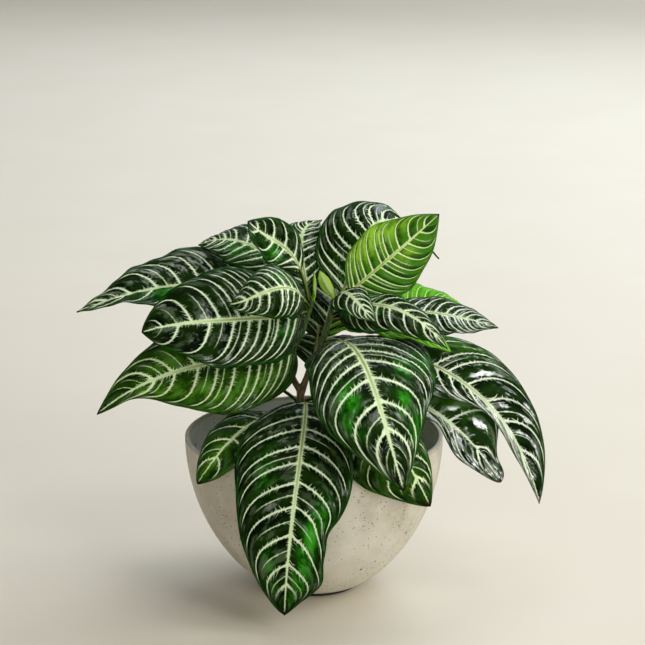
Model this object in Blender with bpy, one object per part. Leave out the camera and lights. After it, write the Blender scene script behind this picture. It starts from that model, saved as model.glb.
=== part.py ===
"""A potted zebra plant: a round-bottomed cement bowl, its soil, a forked stem and striped leaves.

Sizes are in millimetres and are scaled to metres as each mesh is made. The origin is the centre of
the foot pad's underside, +Z is up, and the plant is seen from -Y. Right is +X.
"""

import math
from dataclasses import dataclass

import bmesh
import bpy
from mathutils import Matrix, Vector

MM = 0.001
GAP = 0.3
WELD = 0.01

# Bowl: an outline that bulges from a small flat to the rim
RIM_RADIUS = 115.0
BOWL_HEIGHT = 140.0
FLAT_RADIUS = 40.0
PAD_HEIGHT = 3.0
PAD_RADIUS = 39.5
WALL_AT_RIM = 4.0
WALL_AT_BASE = 9.0
RIM_ROUND = 1.2
BULGE_POWER = 2.0
SHOULDER_POWER = 1.38
BOWL_SIDES = 48
BOWL_ROWS = 11
ROW_CROWDING = 1.7
THICK_BELOW = 0.77
PAD_EASE = 0.5
FLOOR_DISH = 1.0

# Soil
SOIL_EDGE_HEIGHT = 106.0
SOIL_MOUND = 7.0
SOIL_LUMPS = 1.6
SOIL_LUMP_PITCH = (30.0, 37.0)
SOIL_LUMP_PHASE = 1.0
SOIL_SIDES = 40
SOIL_ROWS = 7
SOIL_RINGS = 5
SOIL_CLEARANCE = 0.9
HOLE_LENGTH = 90.0
HOLE_FLARE = 0.4

# Stem
STEM_RADIUS = 4.2
STEM_FOOT_RADIUS = 3.8
STEM_TOP_RADIUS = 3.6
ARM_RADIUS = 3.0
ARM_TIP_RADIUS = 2.2
KNUCKLE = 0.6
STEM_SIDES = 10
STEM_STEPS = 4
STEM_FOOT = (-8.5, 4.6, 66.0)
STEM_COLLAR = (-9.0, 4.4, 112.0)
FORK = (-12.0, 2.0, 178.0)
STEM_WAY = [STEM_FOOT, STEM_COLLAR, (-10.6, 3.0, 148.0), FORK]
LEFT_ARM = [FORK, (-20.0, 4.0, 194.0), (-20.0, 5.0, 211.0), (-10.0, 5.0, 234.0), (-1.0, 3.0, 262.0)]
RIGHT_ARM = [FORK, (-4.0, 6.0, 196.0), (7.0, 9.0, 220.0), (14.0, 8.0, 244.0), (17.0, 6.0, 262.0)]
ARMS = {
    "main": (STEM_WAY, STEM_FOOT_RADIUS, STEM_TOP_RADIUS),
    "left": (LEFT_ARM, ARM_RADIUS, ARM_TIP_RADIUS),
    "right": (RIGHT_ARM, ARM_RADIUS, ARM_TIP_RADIUS),
}

# Leaf sections
ACROSS = 7
BLADE_THICKNESS = 0.9
STALK_HALF_WIDTH = 1.7
STALK_THICKNESS = 3.2
STALK_NARROWING = 0.75
STALK_THINNING = 0.5
STALK_ROUNDNESS = 0.9
OPENING_WIDTH = 5.1
RIB_HALF_WIDTH = 2.4
RIB_DEPTH = 1.1
RIB_TAPER = 0.6
RIB_MOST = 0.3
STATION_LENGTH = 16.0
LEAST_STATIONS = 8
OPENING_STATIONS = (0.02, 0.06)
LAST_STATION = 0.96
LENGTH_STEPS = 20
LEAST_CURL = 1e-6

# Leaf outline and edge
BASE_POWER = 0.70
TIP_POWER = 0.95
RUFFLE = 0.03
RUFFLES = 2.6
WAVE_SHIFT = 2.1


@dataclass(frozen=True)
class Leaf:
    """One leaf: it springs from an arm of the stem at a height, and its midrib passes rise and arch,
    a third and two thirds of the way to its tip. Each of its nicks draws the outline in or out: the share
    along the blade, the side, how far it spreads and its share of the width.
    """

    name: str
    arm: str
    height: float
    rise: tuple
    arch: tuple
    tip: tuple
    width: float
    roll: tuple = (0.0, 0.0)
    fold: float = 12.0
    curl: float = 30.0
    wave: float = 1.5
    waves: float = 3.0
    phase: float = 0.0
    lean: tuple = (0.0, 0.0)
    stalk: float = 0.14
    base_power: float = BASE_POWER
    tip_power: float = TIP_POWER
    nicks: tuple = ()


LEAVES = [
    # Low whorl, round the main stem
    Leaf("leaf_front_large", "main", 166, (-8, -74, 172), (-17, -131, 114), (-25, -131, 19),
         103, fold=8, curl=26, wave=2.5, lean=(0.05, 0.14), stalk=0.10, base_power=0.62, tip_power=0.78,
         nicks=((0.7, -1, 0.045, -0.1), (0.9, -1, 0.07, 0.42))),
    Leaf("leaf_front_left", "main", 152, (-42, -26, 162), (-70, -62, 155), (-100, -92, 124),
         62, roll=(-8, -6), fold=16, curl=32, lean=(-0.07, -0.15), tip_power=0.75),
    Leaf("leaf_front_right", "main", 146, (33, -48, 170), (66, -91, 163), (100, -104, 108),
         80, roll=(18, 26), fold=6, curl=34, lean=(0.26, 0.26), stalk=0.1, base_power=1.15, tip_power=0.8),
    Leaf("leaf_left_low", "left", 228, (-72, -24, 217), (-130, -34, 204), (-190, -36, 169),
         94, roll=(-66, -40), fold=10, curl=20, wave=2, phase=2.6, lean=(-0.06, 0.0), stalk=0.03,
         base_power=0.42, tip_power=0.9, nicks=((0.84, -1, 0.15, -0.62),)),
    Leaf("leaf_right_low", "main", 170, (48, -18, 186), (108, -38, 170), (164, -50, 111),
         78, roll=(34, 44), fold=18, curl=24, lean=(-0.15, -0.4), base_power=1.0, tip_power=0.62,
         nicks=((0.62, 1, 0.14, -0.42), (0.93, -1, 0.1, -0.9))),
    Leaf("leaf_back_right", "main", 155, (36, 44, 184), (82, 82, 176), (116, 110, 140),
         68, fold=14, curl=34),
    Leaf("leaf_back_left", "main", 168, (-52, 46, 180), (-96, 86, 176), (-132, 116, 140),
         70, fold=14, curl=34),
    Leaf("leaf_back_low", "main", 174, (10, 62, 206), (28, 116, 192), (38, 152, 142),
         80, fold=10, curl=34),
    # Left arm
    Leaf("leaf_left_large", "left", 251, (-54, -30, 254.5), (-104, -50, 256.5), (-148, -58, 250),
         96, roll=(-55, -50), fold=8, curl=26, lean=(0.1, 0.05), stalk=0.03, base_power=0.5, tip_power=0.82),
    Leaf("leaf_far_left", "left", 248, (-70, 26, 268), (-140, 18, 268), (-209, 0, 252),
         92, roll=(-18, -20), fold=28, curl=30, wave=2.5, stalk=0.28, base_power=0.5, tip_power=1.25),
    Leaf("leaf_left_small", "left", 256, (-24, -37, 284), (-48, -50, 281), (-73, -51, 273),
         56, roll=(-52, -44), fold=8, curl=44, lean=(0.0, -0.04), stalk=0.05, base_power=0.45),
    Leaf("leaf_upper_left", "left", 261, (-18, 3, 301), (-36, -5, 319), (-57, -14, 338),
         43, roll=(-66, -62), fold=16, curl=20, lean=(-0.08, 0.02), stalk=0.2, tip_power=0.74),
    Leaf("leaf_left_rear", "left", 252, (-37, 38, 290), (-72, 56, 303), (-104, 67, 296),
         60, roll=(-20, -20), fold=14, curl=40, nicks=((0.5, 1, 0.2, 0.25),)),
    Leaf("leaf_back_upper", "left", 260, (-10, 28, 290), (-10, 54, 310), (7, 80, 316),
         48, fold=14, curl=30, lean=(0.0, 0.04), base_power=0.6, stalk=0.1),
    Leaf("leaf_back_left_upper", "left", 212, (-60, 48, 258), (-102, 84, 268), (-140, 108, 244),
         64, fold=14, curl=34),
    Leaf("young_left", "left", 262, (1, 2, 272), (1, 1, 280), (0, -1, 288),
         9, roll=(80, 80), fold=40, curl=10, wave=0, stalk=0.1),
    # Right arm
    Leaf("leaf_front_heart", "right", 223, (36, -60, 234), (55, -115, 204), (76, -142, 135),
         117, roll=(8, 4), fold=6, curl=34, wave=2.5, lean=(-0.22, -0.05), stalk=0.14, base_power=0.34,
         tip_power=0.8, nicks=((0.1, 1, 0.12, 0.04), (0.66, 1, 0.16, 0.36))),
    Leaf("leaf_far_right", "right", 212, (75, -22, 220), (148, -40, 184), (198, -52, 92),
         68, roll=(40, 52), fold=14, curl=24, lean=(0.16, -0.36), base_power=0.8, stalk=0.2,
         nicks=((0.66, 1, 0.28, -0.56),)),
    Leaf("leaf_right_under", "right", 232, (48, -8, 242), (88, -24, 242), (120, -38, 225),
         38, roll=(4, 18), fold=6, curl=16, lean=(-0.16, 0.1)),
    Leaf("leaf_right_upper", "right", 243, (64, 24, 246), (112, 30, 242), (164, 20, 232),
         44, roll=(40, 36), fold=14, curl=26, lean=(0.18, 0.1), stalk=0.4, base_power=0.6),
    Leaf("leaf_right_back", "right", 236, (58, 50, 242), (98, 74, 239), (142, 84, 231),
         56, roll=(34, 34), fold=12, curl=30, stalk=0.4, base_power=0.6),
    Leaf("leaf_right_mid", "right", 250, (46, -26, 266), (80, -48, 264), (115, -60, 236),
         44, roll=(34, 30), fold=10, curl=34, lean=(0.26, 0.22), stalk=0.08, base_power=0.6,
         nicks=((0.3, 1, 0.2, 0.18),)),
    Leaf("leaf_centre_small", "right", 256, (26, -22, 276), (38, -41, 272), (53, -56, 258.5),
         37, roll=(24, 20), fold=8, curl=50, stalk=0.06, base_power=0.55),
    Leaf("leaf_top_bright", "right", 260, (48, 3, 284), (78, 6, 310), (110, 12, 338),
         64, roll=(76, 72), fold=10, curl=22),
    Leaf("leaf_top_tall", "right", 261, (37, 22, 296), (61, 54, 321), (113, 76, 281),
         80, roll=(50, 20), fold=12, curl=26, wave=3, stalk=0.08, base_power=0.6, lean=(0.04, 0.0),
         nicks=((0.34, -1, 0.12, 0.06), (0.8, -1, 0.12, -0.12))),
    Leaf("leaf_back_right_upper", "right", 214, (22, 62, 258), (40, 110, 262), (60, 146, 222),
         70, fold=12, curl=34, base_power=0.6, stalk=0.1),
    Leaf("leaf_back_mid", "right", 204, (4, 66, 246), (-12, 118, 244), (-40, 160, 196),
         84, fold=12, curl=34, base_power=0.6, stalk=0.1),
    Leaf("young_right", "right", 262, (13, 5, 272), (9, 3, 280), (5, 0, 290),
         12, roll=(80, 80), fold=40, curl=10, wave=0, stalk=0.1),
]


def clear_scene():
    """Removes whatever the scene holds."""
    for found in list(bpy.data.objects):
        bpy.data.objects.remove(found, do_unlink=True)


def material(name, colour, roughness, metallic=0.0):
    """A plain Principled BSDF finish."""
    made = bpy.data.materials.new(name)
    made.use_nodes = True
    shader = made.node_tree.nodes["Principled BSDF"]
    shader.inputs["Base Color"].default_value = (*colour, 1.0)
    shader.inputs["Roughness"].default_value = roughness
    shader.inputs["Metallic"].default_value = metallic
    return made


def add_object(name, mesh_data, finish, crease=35.0):
    """Scales a bmesh from millimetres to metres and puts it in the scene, shaded smooth."""
    bmesh.ops.scale(mesh_data, vec=(MM, MM, MM), verts=mesh_data.verts)
    bmesh.ops.recalc_face_normals(mesh_data, faces=mesh_data.faces)
    mesh = bpy.data.meshes.new(name)
    mesh_data.to_mesh(mesh)
    mesh_data.free()
    mesh.materials.append(finish)
    mesh.shade_smooth()
    mesh.set_sharp_from_angle(angle=math.radians(crease))
    made = bpy.data.objects.new(name, mesh)
    bpy.context.scene.collection.objects.link(made)
    return made


def turned(profile, sides):
    """A solid of revolution about Z from an open profile of (radius, height) points."""
    turning = bmesh.new()
    points = [turning.verts.new((radius, 0.0, height)) for radius, height in profile]
    edges = [turning.edges.new(pair) for pair in zip(points, points[1:])]
    bmesh.ops.spin(
        turning, geom=points + edges, cent=(0, 0, 0), axis=(0, 0, 1),
        angle=2 * math.pi, steps=sides, use_merge=True,
    )
    bmesh.ops.remove_doubles(turning, verts=turning.verts, dist=WELD)
    return turning


def bowl_radius(height):
    """The bowl's outer radius at a height above the surface it stands on."""
    depth = (BOWL_HEIGHT - height) / (BOWL_HEIGHT - PAD_HEIGHT)
    swell = max(0.0, 1.0 - depth**BULGE_POWER) ** (1.0 / SHOULDER_POWER)
    return FLAT_RADIUS + (RIM_RADIUS - FLAT_RADIUS) * swell


def wall(height):
    """The bowl's wall, thin at the rim and thicker low down."""
    share = (height - PAD_HEIGHT) / (BOWL_HEIGHT - PAD_HEIGHT)
    return WALL_AT_BASE + (WALL_AT_RIM - WALL_AT_BASE) * min(1.0, share / THICK_BELOW)


def row_heights(low, high, rows):
    """Heights that crowd towards the low end, where a bowl curves most."""
    return [low + (high - low) * (step / rows) ** ROW_CROWDING for step in range(rows + 1)]


def build_bowl(finish):
    """The bowl: outside up from its flat, over the rounded rim and down the inside."""
    outside = [(bowl_radius(z), z) for z in row_heights(PAD_HEIGHT, BOWL_HEIGHT - RIM_ROUND, BOWL_ROWS)]
    floor = PAD_HEIGHT + WALL_AT_BASE
    inside = [
        (bowl_radius(z) - wall(z), z)
        for z in row_heights(floor + FLOOR_DISH, BOWL_HEIGHT - RIM_ROUND, BOWL_ROWS - 2)
    ]
    lip = [(RIM_RADIUS - RIM_ROUND, BOWL_HEIGHT), (RIM_RADIUS - WALL_AT_RIM + RIM_ROUND, BOWL_HEIGHT)]
    profile = [(0.0, PAD_HEIGHT)] + outside + lip + inside[::-1] + [(0.0, floor)]
    return add_object("bowl", turned(profile, BOWL_SIDES), finish)


def build_foot_pad(finish):
    """The dark disc under the bowl, with its edges eased."""
    top = PAD_HEIGHT - GAP
    profile = [
        (0.0, 0.0), (PAD_RADIUS - PAD_EASE, 0.0), (PAD_RADIUS, PAD_EASE),
        (PAD_RADIUS, top - PAD_EASE), (PAD_RADIUS - PAD_EASE, top), (0.0, top),
    ]
    return add_object("foot_pad", turned(profile, BOWL_SIDES), finish)


def mound(step):
    """The soil top's height at a ring, counted from its edge."""
    return SOIL_EDGE_HEIGHT + SOIL_MOUND * math.sin(math.pi / 2 * step / SOIL_RINGS)


def stem_hole_cutter(finish):
    """The plain round hole that the stem stands in, as a cutter a little wider than the stem."""
    hole = bmesh.new()
    radius = STEM_RADIUS + GAP
    bmesh.ops.create_cone(
        hole, cap_ends=True, segments=STEM_SIDES * 2, radius1=radius, radius2=radius + HOLE_FLARE,
        depth=HOLE_LENGTH,
    )
    foot = Vector(STEM_FOOT)
    along = (Vector(STEM_COLLAR) - foot).normalized()
    turn = along.to_track_quat("Z", "Y").to_matrix().to_4x4()
    middle = foot + along * (HOLE_LENGTH / 2 - GAP)
    bmesh.ops.transform(hole, matrix=Matrix.Translation(middle) @ turn, verts=hole.verts)
    cutter = add_object("stem_hole_cutter", hole, finish)
    cutter.hide_render = True
    cutter.display_type = "WIRE"
    return cutter


def build_soil(finish):
    """The potting mix: it follows the bowl's inside, and its top is a low lumpy mound."""
    floor = PAD_HEIGHT + WALL_AT_BASE + GAP
    side = [
        (bowl_radius(z) - wall(z) - SOIL_CLEARANCE, z)
        for z in row_heights(floor + 5 * GAP, SOIL_EDGE_HEIGHT, SOIL_ROWS)
    ]
    edge = side[-1][0]
    top = [(edge * (1 - step / SOIL_RINGS), mound(step)) for step in range(1, SOIL_RINGS + 1)]
    soil = turned([(0.0, floor)] + side + top, SOIL_SIDES)
    for vert in soil.verts:
        if vert.co.z > SOIL_EDGE_HEIGHT + GAP:
            along_x = math.sin(2 * math.pi * vert.co.x / SOIL_LUMP_PITCH[0] + SOIL_LUMP_PHASE)
            along_y = math.cos(2 * math.pi * vert.co.y / SOIL_LUMP_PITCH[1])
            vert.co.z += SOIL_LUMPS * along_x * along_y
    made = add_object("soil", soil, finish)
    cut = made.modifiers.new("stem hole", "BOOLEAN")
    cut.operation = "DIFFERENCE"
    cut.object = stem_hole_cutter(finish)
    return made


def smooth_way(points):
    """Points on a smooth curve through the given ones, STEM_STEPS to a span."""
    ways = [Vector(p) for p in points]
    padded = [2 * ways[0] - ways[1]] + ways + [2 * ways[-1] - ways[-2]]
    found = []
    for before, start, end, after in zip(padded, padded[1:], padded[2:], padded[3:]):
        for step in range(STEM_STEPS):
            t = step / STEM_STEPS
            found.append(
                0.5 * (
                    2 * start + (end - before) * t
                    + (2 * before - 5 * start + 4 * end - after) * t * t
                    + (3 * start - before - 3 * end + after) * t * t * t
                )
            )
    return found + [ways[-1]]


def arm_radius(index, count, start_radius, end_radius):
    """An arm's radius at one of its points, with a knuckle where its way was given."""
    swell = KNUCKLE if index % STEM_STEPS == 0 and 0 < index < count - 1 else 0.0
    return start_radius + (end_radius - start_radius) * index / (count - 1) + swell


def stem_tube(name, way, start_radius, end_radius, finish):
    """A round tube along a way, as a curve with a bevel made into a mesh."""
    curve = bpy.data.curves.new(name, "CURVE")
    curve.dimensions = "3D"
    curve.bevel_depth = MM
    curve.bevel_resolution = (STEM_SIDES - 4) // 2
    curve.use_fill_caps = True
    line = curve.splines.new("POLY")
    points = smooth_way(way)
    line.points.add(len(points) - 1)
    for index, (knot, place) in enumerate(zip(line.points, points)):
        knot.co = (*(place * MM), 1.0)
        knot.radius = arm_radius(index, len(points), start_radius, end_radius)
    guide = bpy.data.objects.new(name, curve)
    bpy.context.scene.collection.objects.link(guide)
    bpy.context.view_layer.update()
    mesh = bpy.data.meshes.new_from_object(guide)
    bpy.data.objects.remove(guide, do_unlink=True)
    welded = bmesh.new()
    welded.from_mesh(mesh)
    bmesh.ops.remove_doubles(welded, verts=welded.verts, dist=WELD * MM)
    bmesh.ops.scale(welded, vec=(1 / MM, 1 / MM, 1 / MM), verts=welded.verts)
    bpy.data.meshes.remove(mesh)
    return add_object(name, welded, finish)


def build_stem(finish):
    """The forked stem: the main stem and its two arms, joined into one solid."""
    stem = stem_tube("stem", *ARMS["main"], finish)
    arms = bpy.data.collections.new("stem arms")
    bpy.context.scene.collection.children.link(arms)
    for name in ("left", "right"):
        arm = stem_tube(name, *ARMS[name], finish)
        bpy.context.scene.collection.objects.unlink(arm)
        arms.objects.link(arm)
    join = stem.modifiers.new("join arms", "BOOLEAN")
    join.operation = "UNION"
    join.operand_type = "COLLECTION"
    join.collection = arms
    join.solver = "EXACT"
    graph = bpy.context.evaluated_depsgraph_get()
    joined = bpy.data.meshes.new_from_object(stem.evaluated_get(graph))
    stem.modifiers.clear()
    stem.data = joined
    for arm in list(arms.objects):
        bpy.data.objects.remove(arm, do_unlink=True)
    bpy.data.collections.remove(arms)
    return stem


def cubic_handles(root, rise, arch, tip):
    """The two handles of the cubic that passes root, rise, arch and tip a third of the way apart."""
    first = (-5 * root + 18 * rise - 9 * arch + 2 * tip) / 6
    second = (2 * root - 9 * rise + 18 * arch - 5 * tip) / 6
    return first, second


def stalk_root(leaf):
    """Where the leaf's stalk starts: just clear of its arm, on the side that it leaves by."""
    way, start_radius, end_radius = ARMS[leaf.arm]
    points = smooth_way(way)
    rise, arch, tip = Vector(leaf.rise), Vector(leaf.arch), Vector(leaf.tip)
    at_tip = leaf.height >= points[-1].z
    index = len(points) - 2 if at_tip else max(i for i, p in enumerate(points[:-1]) if p.z <= leaf.height)
    below, above = points[index], points[index + 1]
    along = (above - below).normalized()
    share = 1.0 if at_tip else (leaf.height - below.z) / (above.z - below.z)
    spot = below.lerp(above, share)
    aim = (rise - spot).normalized()
    outward = along if at_tip else (aim - along * aim.dot(along)).normalized()
    near, far = (arm_radius(i, len(points), start_radius, end_radius) for i in (index, index + 1))
    radius = 0.0 if at_tip else near + (far - near) * share
    leaving = (cubic_handles(spot, rise, arch, tip)[0] - spot).normalized()
    lean = math.sqrt(max(0.0, 1.0 - leaving.dot(outward) ** 2))
    return spot + outward * (radius + GAP + STALK_HALF_WIDTH * lean)


def midrib(leaf):
    """The four control points of the cubic that passes the leaf's root, rise, arch and tip."""
    root, tip = stalk_root(leaf), Vector(leaf.tip)
    first, second = cubic_handles(root, Vector(leaf.rise), Vector(leaf.arch), tip)
    return root, first, second, tip


def rib_point(ctrl, u):
    """The midrib's place at a share u of its way from root to tip."""
    v = 1.0 - u
    return ctrl[0] * v**3 + ctrl[1] * 3 * u * v * v + ctrl[2] * 3 * u * u * v + ctrl[3] * u**3


def rib_axes(leaf, ctrl, u):
    """The side and upper directions of the blade at u, turned by the leaf's roll there."""
    v = 1.0 - u
    along = (ctrl[1] - ctrl[0]) * v * v + (ctrl[2] - ctrl[1]) * 2 * u * v + (ctrl[3] - ctrl[2]) * u * u
    along.normalize()
    heading = ctrl[3] - ctrl[0]
    side = Vector((heading.y, -heading.x, 0.0)).normalized()
    side = (side - along * side.dot(along)).normalized()
    turn = Matrix.Rotation(math.radians(leaf.roll[0] + (leaf.roll[1] - leaf.roll[0]) * u), 3, along)
    side = turn @ side
    return side, side.cross(along)


def half_width(leaf, t):
    """The blade's half width at a share t of the blade's length."""
    if t <= 0.0 or t >= 1.0:
        return 0.0
    peak = leaf.base_power / (leaf.base_power + leaf.tip_power)
    top = peak**leaf.base_power * (1 - peak) ** leaf.tip_power
    return leaf.width / 2 * t**leaf.base_power * (1 - t) ** leaf.tip_power / top


def leaf_point(leaf, ctrl, u, column, under):
    """A point of the leaf's skin, on top or under: u along it, and column 0 on its midrib, below 0 on one
    side of it and above 0 on the other.
    """
    t = (u - leaf.stalk) / (1 - leaf.stalk)
    stalk_width = STALK_HALF_WIDTH * (1 - STALK_NARROWING * u)
    blade_width = half_width(leaf, t)
    sign = (column > 0) - (column < 0)
    favour = leaf.lean[0] + (leaf.lean[1] - leaf.lean[0]) * t
    ragged = 1 + sign * favour + RUFFLE * math.sin(2 * math.pi * RUFFLES * t + leaf.phase + sign)
    for place, nicked_side, spread, depth in leaf.nicks:
        if nicked_side == sign:
            ragged += depth * math.exp(-(((t - place) / spread) ** 2))
    width = max(stalk_width, blade_width * ragged)
    flat = min(1.0, max(0.0, (blade_width - stalk_width) / OPENING_WIDTH))
    rib_share = min(RIB_MOST, RIB_HALF_WIDTH * (1 - RIB_TAPER * u) / width)
    reach = {0: 0.0, 1: rib_share, 2: 0.5 + rib_share / 2, 3: 1.0}[abs(column)]
    fold = math.radians(leaf.fold) * flat
    curl = math.radians(leaf.curl) * flat + LEAST_CURL
    across = sign * width / curl * (math.sin(fold) - math.sin(fold - curl * reach))
    lift = width / curl * (math.cos(fold - curl * reach) - math.cos(fold))
    ripple = math.sin(2 * math.pi * leaf.waves * t + leaf.phase + (WAVE_SHIFT if sign > 0 else 0.0))
    lift += flat * leaf.wave * reach * reach * ripple * math.sin(math.pi * min(1.0, max(0.0, t))) ** 0.5

    lean = fold - curl * reach
    rounded = math.sqrt(1 - STALK_ROUNDNESS * reach * reach)
    stalk_half = STALK_THICKNESS * (1 - STALK_THINNING * u) / 2 * rounded
    half = (1 - flat) * stalk_half + flat * BLADE_THICKNESS / 2
    rib = flat * RIB_DEPTH * (1 - RIB_TAPER * u) if column == 0 else 0.0
    depth = -(half + rib) if under else half
    side, up = rib_axes(leaf, ctrl, u)
    skin = up * math.cos(lean) - side * sign * math.sin(lean)
    return rib_point(ctrl, u) + side * across + up * lift + skin * depth


def stations(leaf, ctrl):
    """The shares u at which a leaf has a row of points, closer where the blade opens."""
    marks = [rib_point(ctrl, step / LENGTH_STEPS) for step in range(LENGTH_STEPS + 1)]
    length = sum((after - before).length for before, after in zip(marks, marks[1:]))
    rows = max(LEAST_STATIONS, round(length * (1 - leaf.stalk) / STATION_LENGTH))
    first = OPENING_STATIONS[-1]
    even = [first + (LAST_STATION - first) * (i + 1) / rows for i in range(rows)]
    blade = [*OPENING_STATIONS, *even, 1.0]
    return [0.0, leaf.stalk] + [leaf.stalk + (1 - leaf.stalk) * t for t in blade]


def build_leaf(leaf, finish):
    """One leaf: a grid for its upper skin and one for its lower, bridged along their rims."""
    ctrl = midrib(leaf)
    shares = stations(leaf, ctrl)
    blade = bmesh.new()
    bmesh.ops.create_grid(blade, x_segments=len(shares) - 1, y_segments=ACROSS - 1, size=1.0)
    bmesh.ops.triangulate(blade, faces=blade.faces, quad_method="FIXED")
    upper = list(blade.verts)
    rim = [edge for edge in blade.edges if edge.is_boundary]
    copied = bmesh.ops.duplicate(blade, geom=blade.verts[:] + blade.edges[:] + blade.faces[:])
    lower = [part for part in copied["geom"] if isinstance(part, bmesh.types.BMVert)]
    lower_rim = [edge for edge in blade.edges if edge.is_boundary and edge not in rim]
    bmesh.ops.translate(blade, vec=(0, 0, -BLADE_THICKNESS / 10), verts=lower)
    bmesh.ops.bridge_loops(blade, edges=rim + lower_rim)
    for verts, under in ((upper, False), (lower, True)):
        for vert in verts:
            row = round((vert.co.x + 1) / 2 * (len(shares) - 1))
            column = round(vert.co.y * (ACROSS // 2))
            vert.co = leaf_point(leaf, ctrl, shares[row], column, under)
    bmesh.ops.triangulate(blade, faces=[face for face in blade.faces if len(face.verts) > 3])
    return add_object(leaf.name, blade, finish, crease=60.0)


def main():
    """Builds every piece."""
    clear_scene()
    build_bowl(material("cement", (0.52, 0.49, 0.43), 0.75))
    build_foot_pad(material("foot", (0.03, 0.025, 0.02), 0.8))
    build_soil(material("potting_mix", (0.045, 0.038, 0.032), 0.95))
    build_stem(material("stem", (0.16, 0.13, 0.05), 0.6))
    dark = material("leaf", (0.02, 0.08, 0.02), 0.3)
    fresh = material("young_leaf", (0.18, 0.42, 0.03), 0.35)
    for leaf in LEAVES:
        build_leaf(leaf, fresh if leaf.name.startswith("young") else dark)


main()
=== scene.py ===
"""Looks for a potted zebra plant: striped leaves on a forked stem, potting mix and a speckled cement bowl.

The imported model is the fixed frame. Each leaf, the stem, the soil, the bowl and its pad get a finer piece
that stands where its solid stands. Sizes are in millimetres and are scaled to metres as each mesh is
finished.
"""

import logging
import math
import random
from dataclasses import dataclass
from enum import Enum

import bmesh
import bpy
import numpy as np
from mathutils import Matrix, Vector, bvhtree, noise


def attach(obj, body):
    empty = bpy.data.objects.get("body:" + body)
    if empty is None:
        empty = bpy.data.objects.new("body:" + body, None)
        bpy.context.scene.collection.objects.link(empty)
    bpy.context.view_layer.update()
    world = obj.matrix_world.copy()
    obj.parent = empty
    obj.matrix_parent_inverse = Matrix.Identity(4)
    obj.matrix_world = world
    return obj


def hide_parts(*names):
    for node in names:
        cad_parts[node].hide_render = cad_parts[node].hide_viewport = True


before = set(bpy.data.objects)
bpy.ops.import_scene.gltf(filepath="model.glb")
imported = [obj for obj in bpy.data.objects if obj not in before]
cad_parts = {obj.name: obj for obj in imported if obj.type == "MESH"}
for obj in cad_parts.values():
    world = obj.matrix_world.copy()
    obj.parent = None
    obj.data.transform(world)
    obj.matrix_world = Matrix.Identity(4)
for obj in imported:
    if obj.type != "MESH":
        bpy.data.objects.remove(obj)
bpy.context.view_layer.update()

LOG = logging.getLogger("zebra_plant")
MM = 0.001
GAP = 0.3
TAU = 2 * math.pi
NO_CREASE = 180.0

Point = tuple[float, float, float]
Pair = tuple[float, float]
Patch = tuple[float, float, float, float]
Nick = tuple[float, int, float, float]
Tones = tuple[str, str]
Socket = bpy.types.NodeSocket
Material = bpy.types.Material
Tree = bpy.types.NodeTree
Outputs = bpy.types.NodeOutputs
Piece = bpy.types.Object
Shape = bmesh.types.BMesh
Array = np.ndarray
Value = Socket | float | tuple[float, ...]


# Small helpers


def tone(code: str) -> tuple[float, ...]:
    """A linear colour from a screen colour.

    Args:
        code: the colour as six hexadecimal digits.

    Returns:
        The linear red, green and blue, and an alpha of 1.
    """
    parts = [int(code[start:start + 2], 16) / 255 for start in (0, 2, 4)]
    linear = [part / 12.92 if part <= 0.04045 else ((part + 0.055) / 1.055) ** 2.4 for part in parts]
    return (*linear, 1.0)


def smooth_way(points: list[Point], steps: int) -> list[Vector]:
    """Points on a smooth curve through the given ones.

    Args:
        points: the places that the curve passes.
        steps: how many points each span is cut into.

    Returns:
        The curve's points, the last given one included.
    """
    ways = [Vector(point) for point in points]
    padded = [2 * ways[0] - ways[1]] + ways + [2 * ways[-1] - ways[-2]]
    found = []
    for before, start, end, after in zip(padded, padded[1:], padded[2:], padded[3:]):
        for step in range(steps):
            t = step / steps
            found.append(
                0.5 * (
                    2 * start + (end - before) * t
                    + (2 * before - 5 * start + 4 * end - after) * t * t
                    + (3 * start - before - 3 * end + after) * t * t * t
                )
            )
    return found + [ways[-1]]


def placed(name: str, data: bpy.types.ID) -> Piece:
    """A new object of the scene, at the origin."""
    made = bpy.data.objects.new(name, data)
    bpy.context.scene.collection.objects.link(made)
    return made


def to_millimetres(shape: Shape) -> None:
    """Scales a shape from metres to millimetres."""
    bmesh.ops.scale(shape, vec=(1 / MM, 1 / MM, 1 / MM), verts=shape.verts)


def finish_mesh(name: str, shape: Shape, materials: list[Material], crease: float = 40.0) -> Piece:
    """Scales a shape from millimetres to metres and makes it an object at the origin, shaded smooth.

    Args:
        name: the piece's name.
        shape: the bmesh, which is freed.
        materials: the materials of its slots.
        crease: the angle in degrees past which an edge stays sharp; none does at NO_CREASE.

    Returns:
        The new object.
    """
    bmesh.ops.scale(shape, vec=(MM, MM, MM), verts=shape.verts)
    mesh = bpy.data.meshes.new(name)
    shape.to_mesh(mesh)
    shape.free()
    for material in materials:
        mesh.materials.append(material)
    mesh.shade_smooth()
    mesh.set_sharp_from_angle(angle=math.radians(crease))
    return placed(name, mesh)


def settle(piece: Piece, node: str = "") -> None:
    """Lets a piece ride on the plant's one body and hides the solid that it stands for.

    Args:
        piece: the finished piece.
        node: the CAD node that it replaces, or nothing.
    """
    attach(piece, "root")
    if node:
        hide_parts(node)
    LOG.info("%s: %d faces", piece.name, len(piece.data.polygons))


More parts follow.
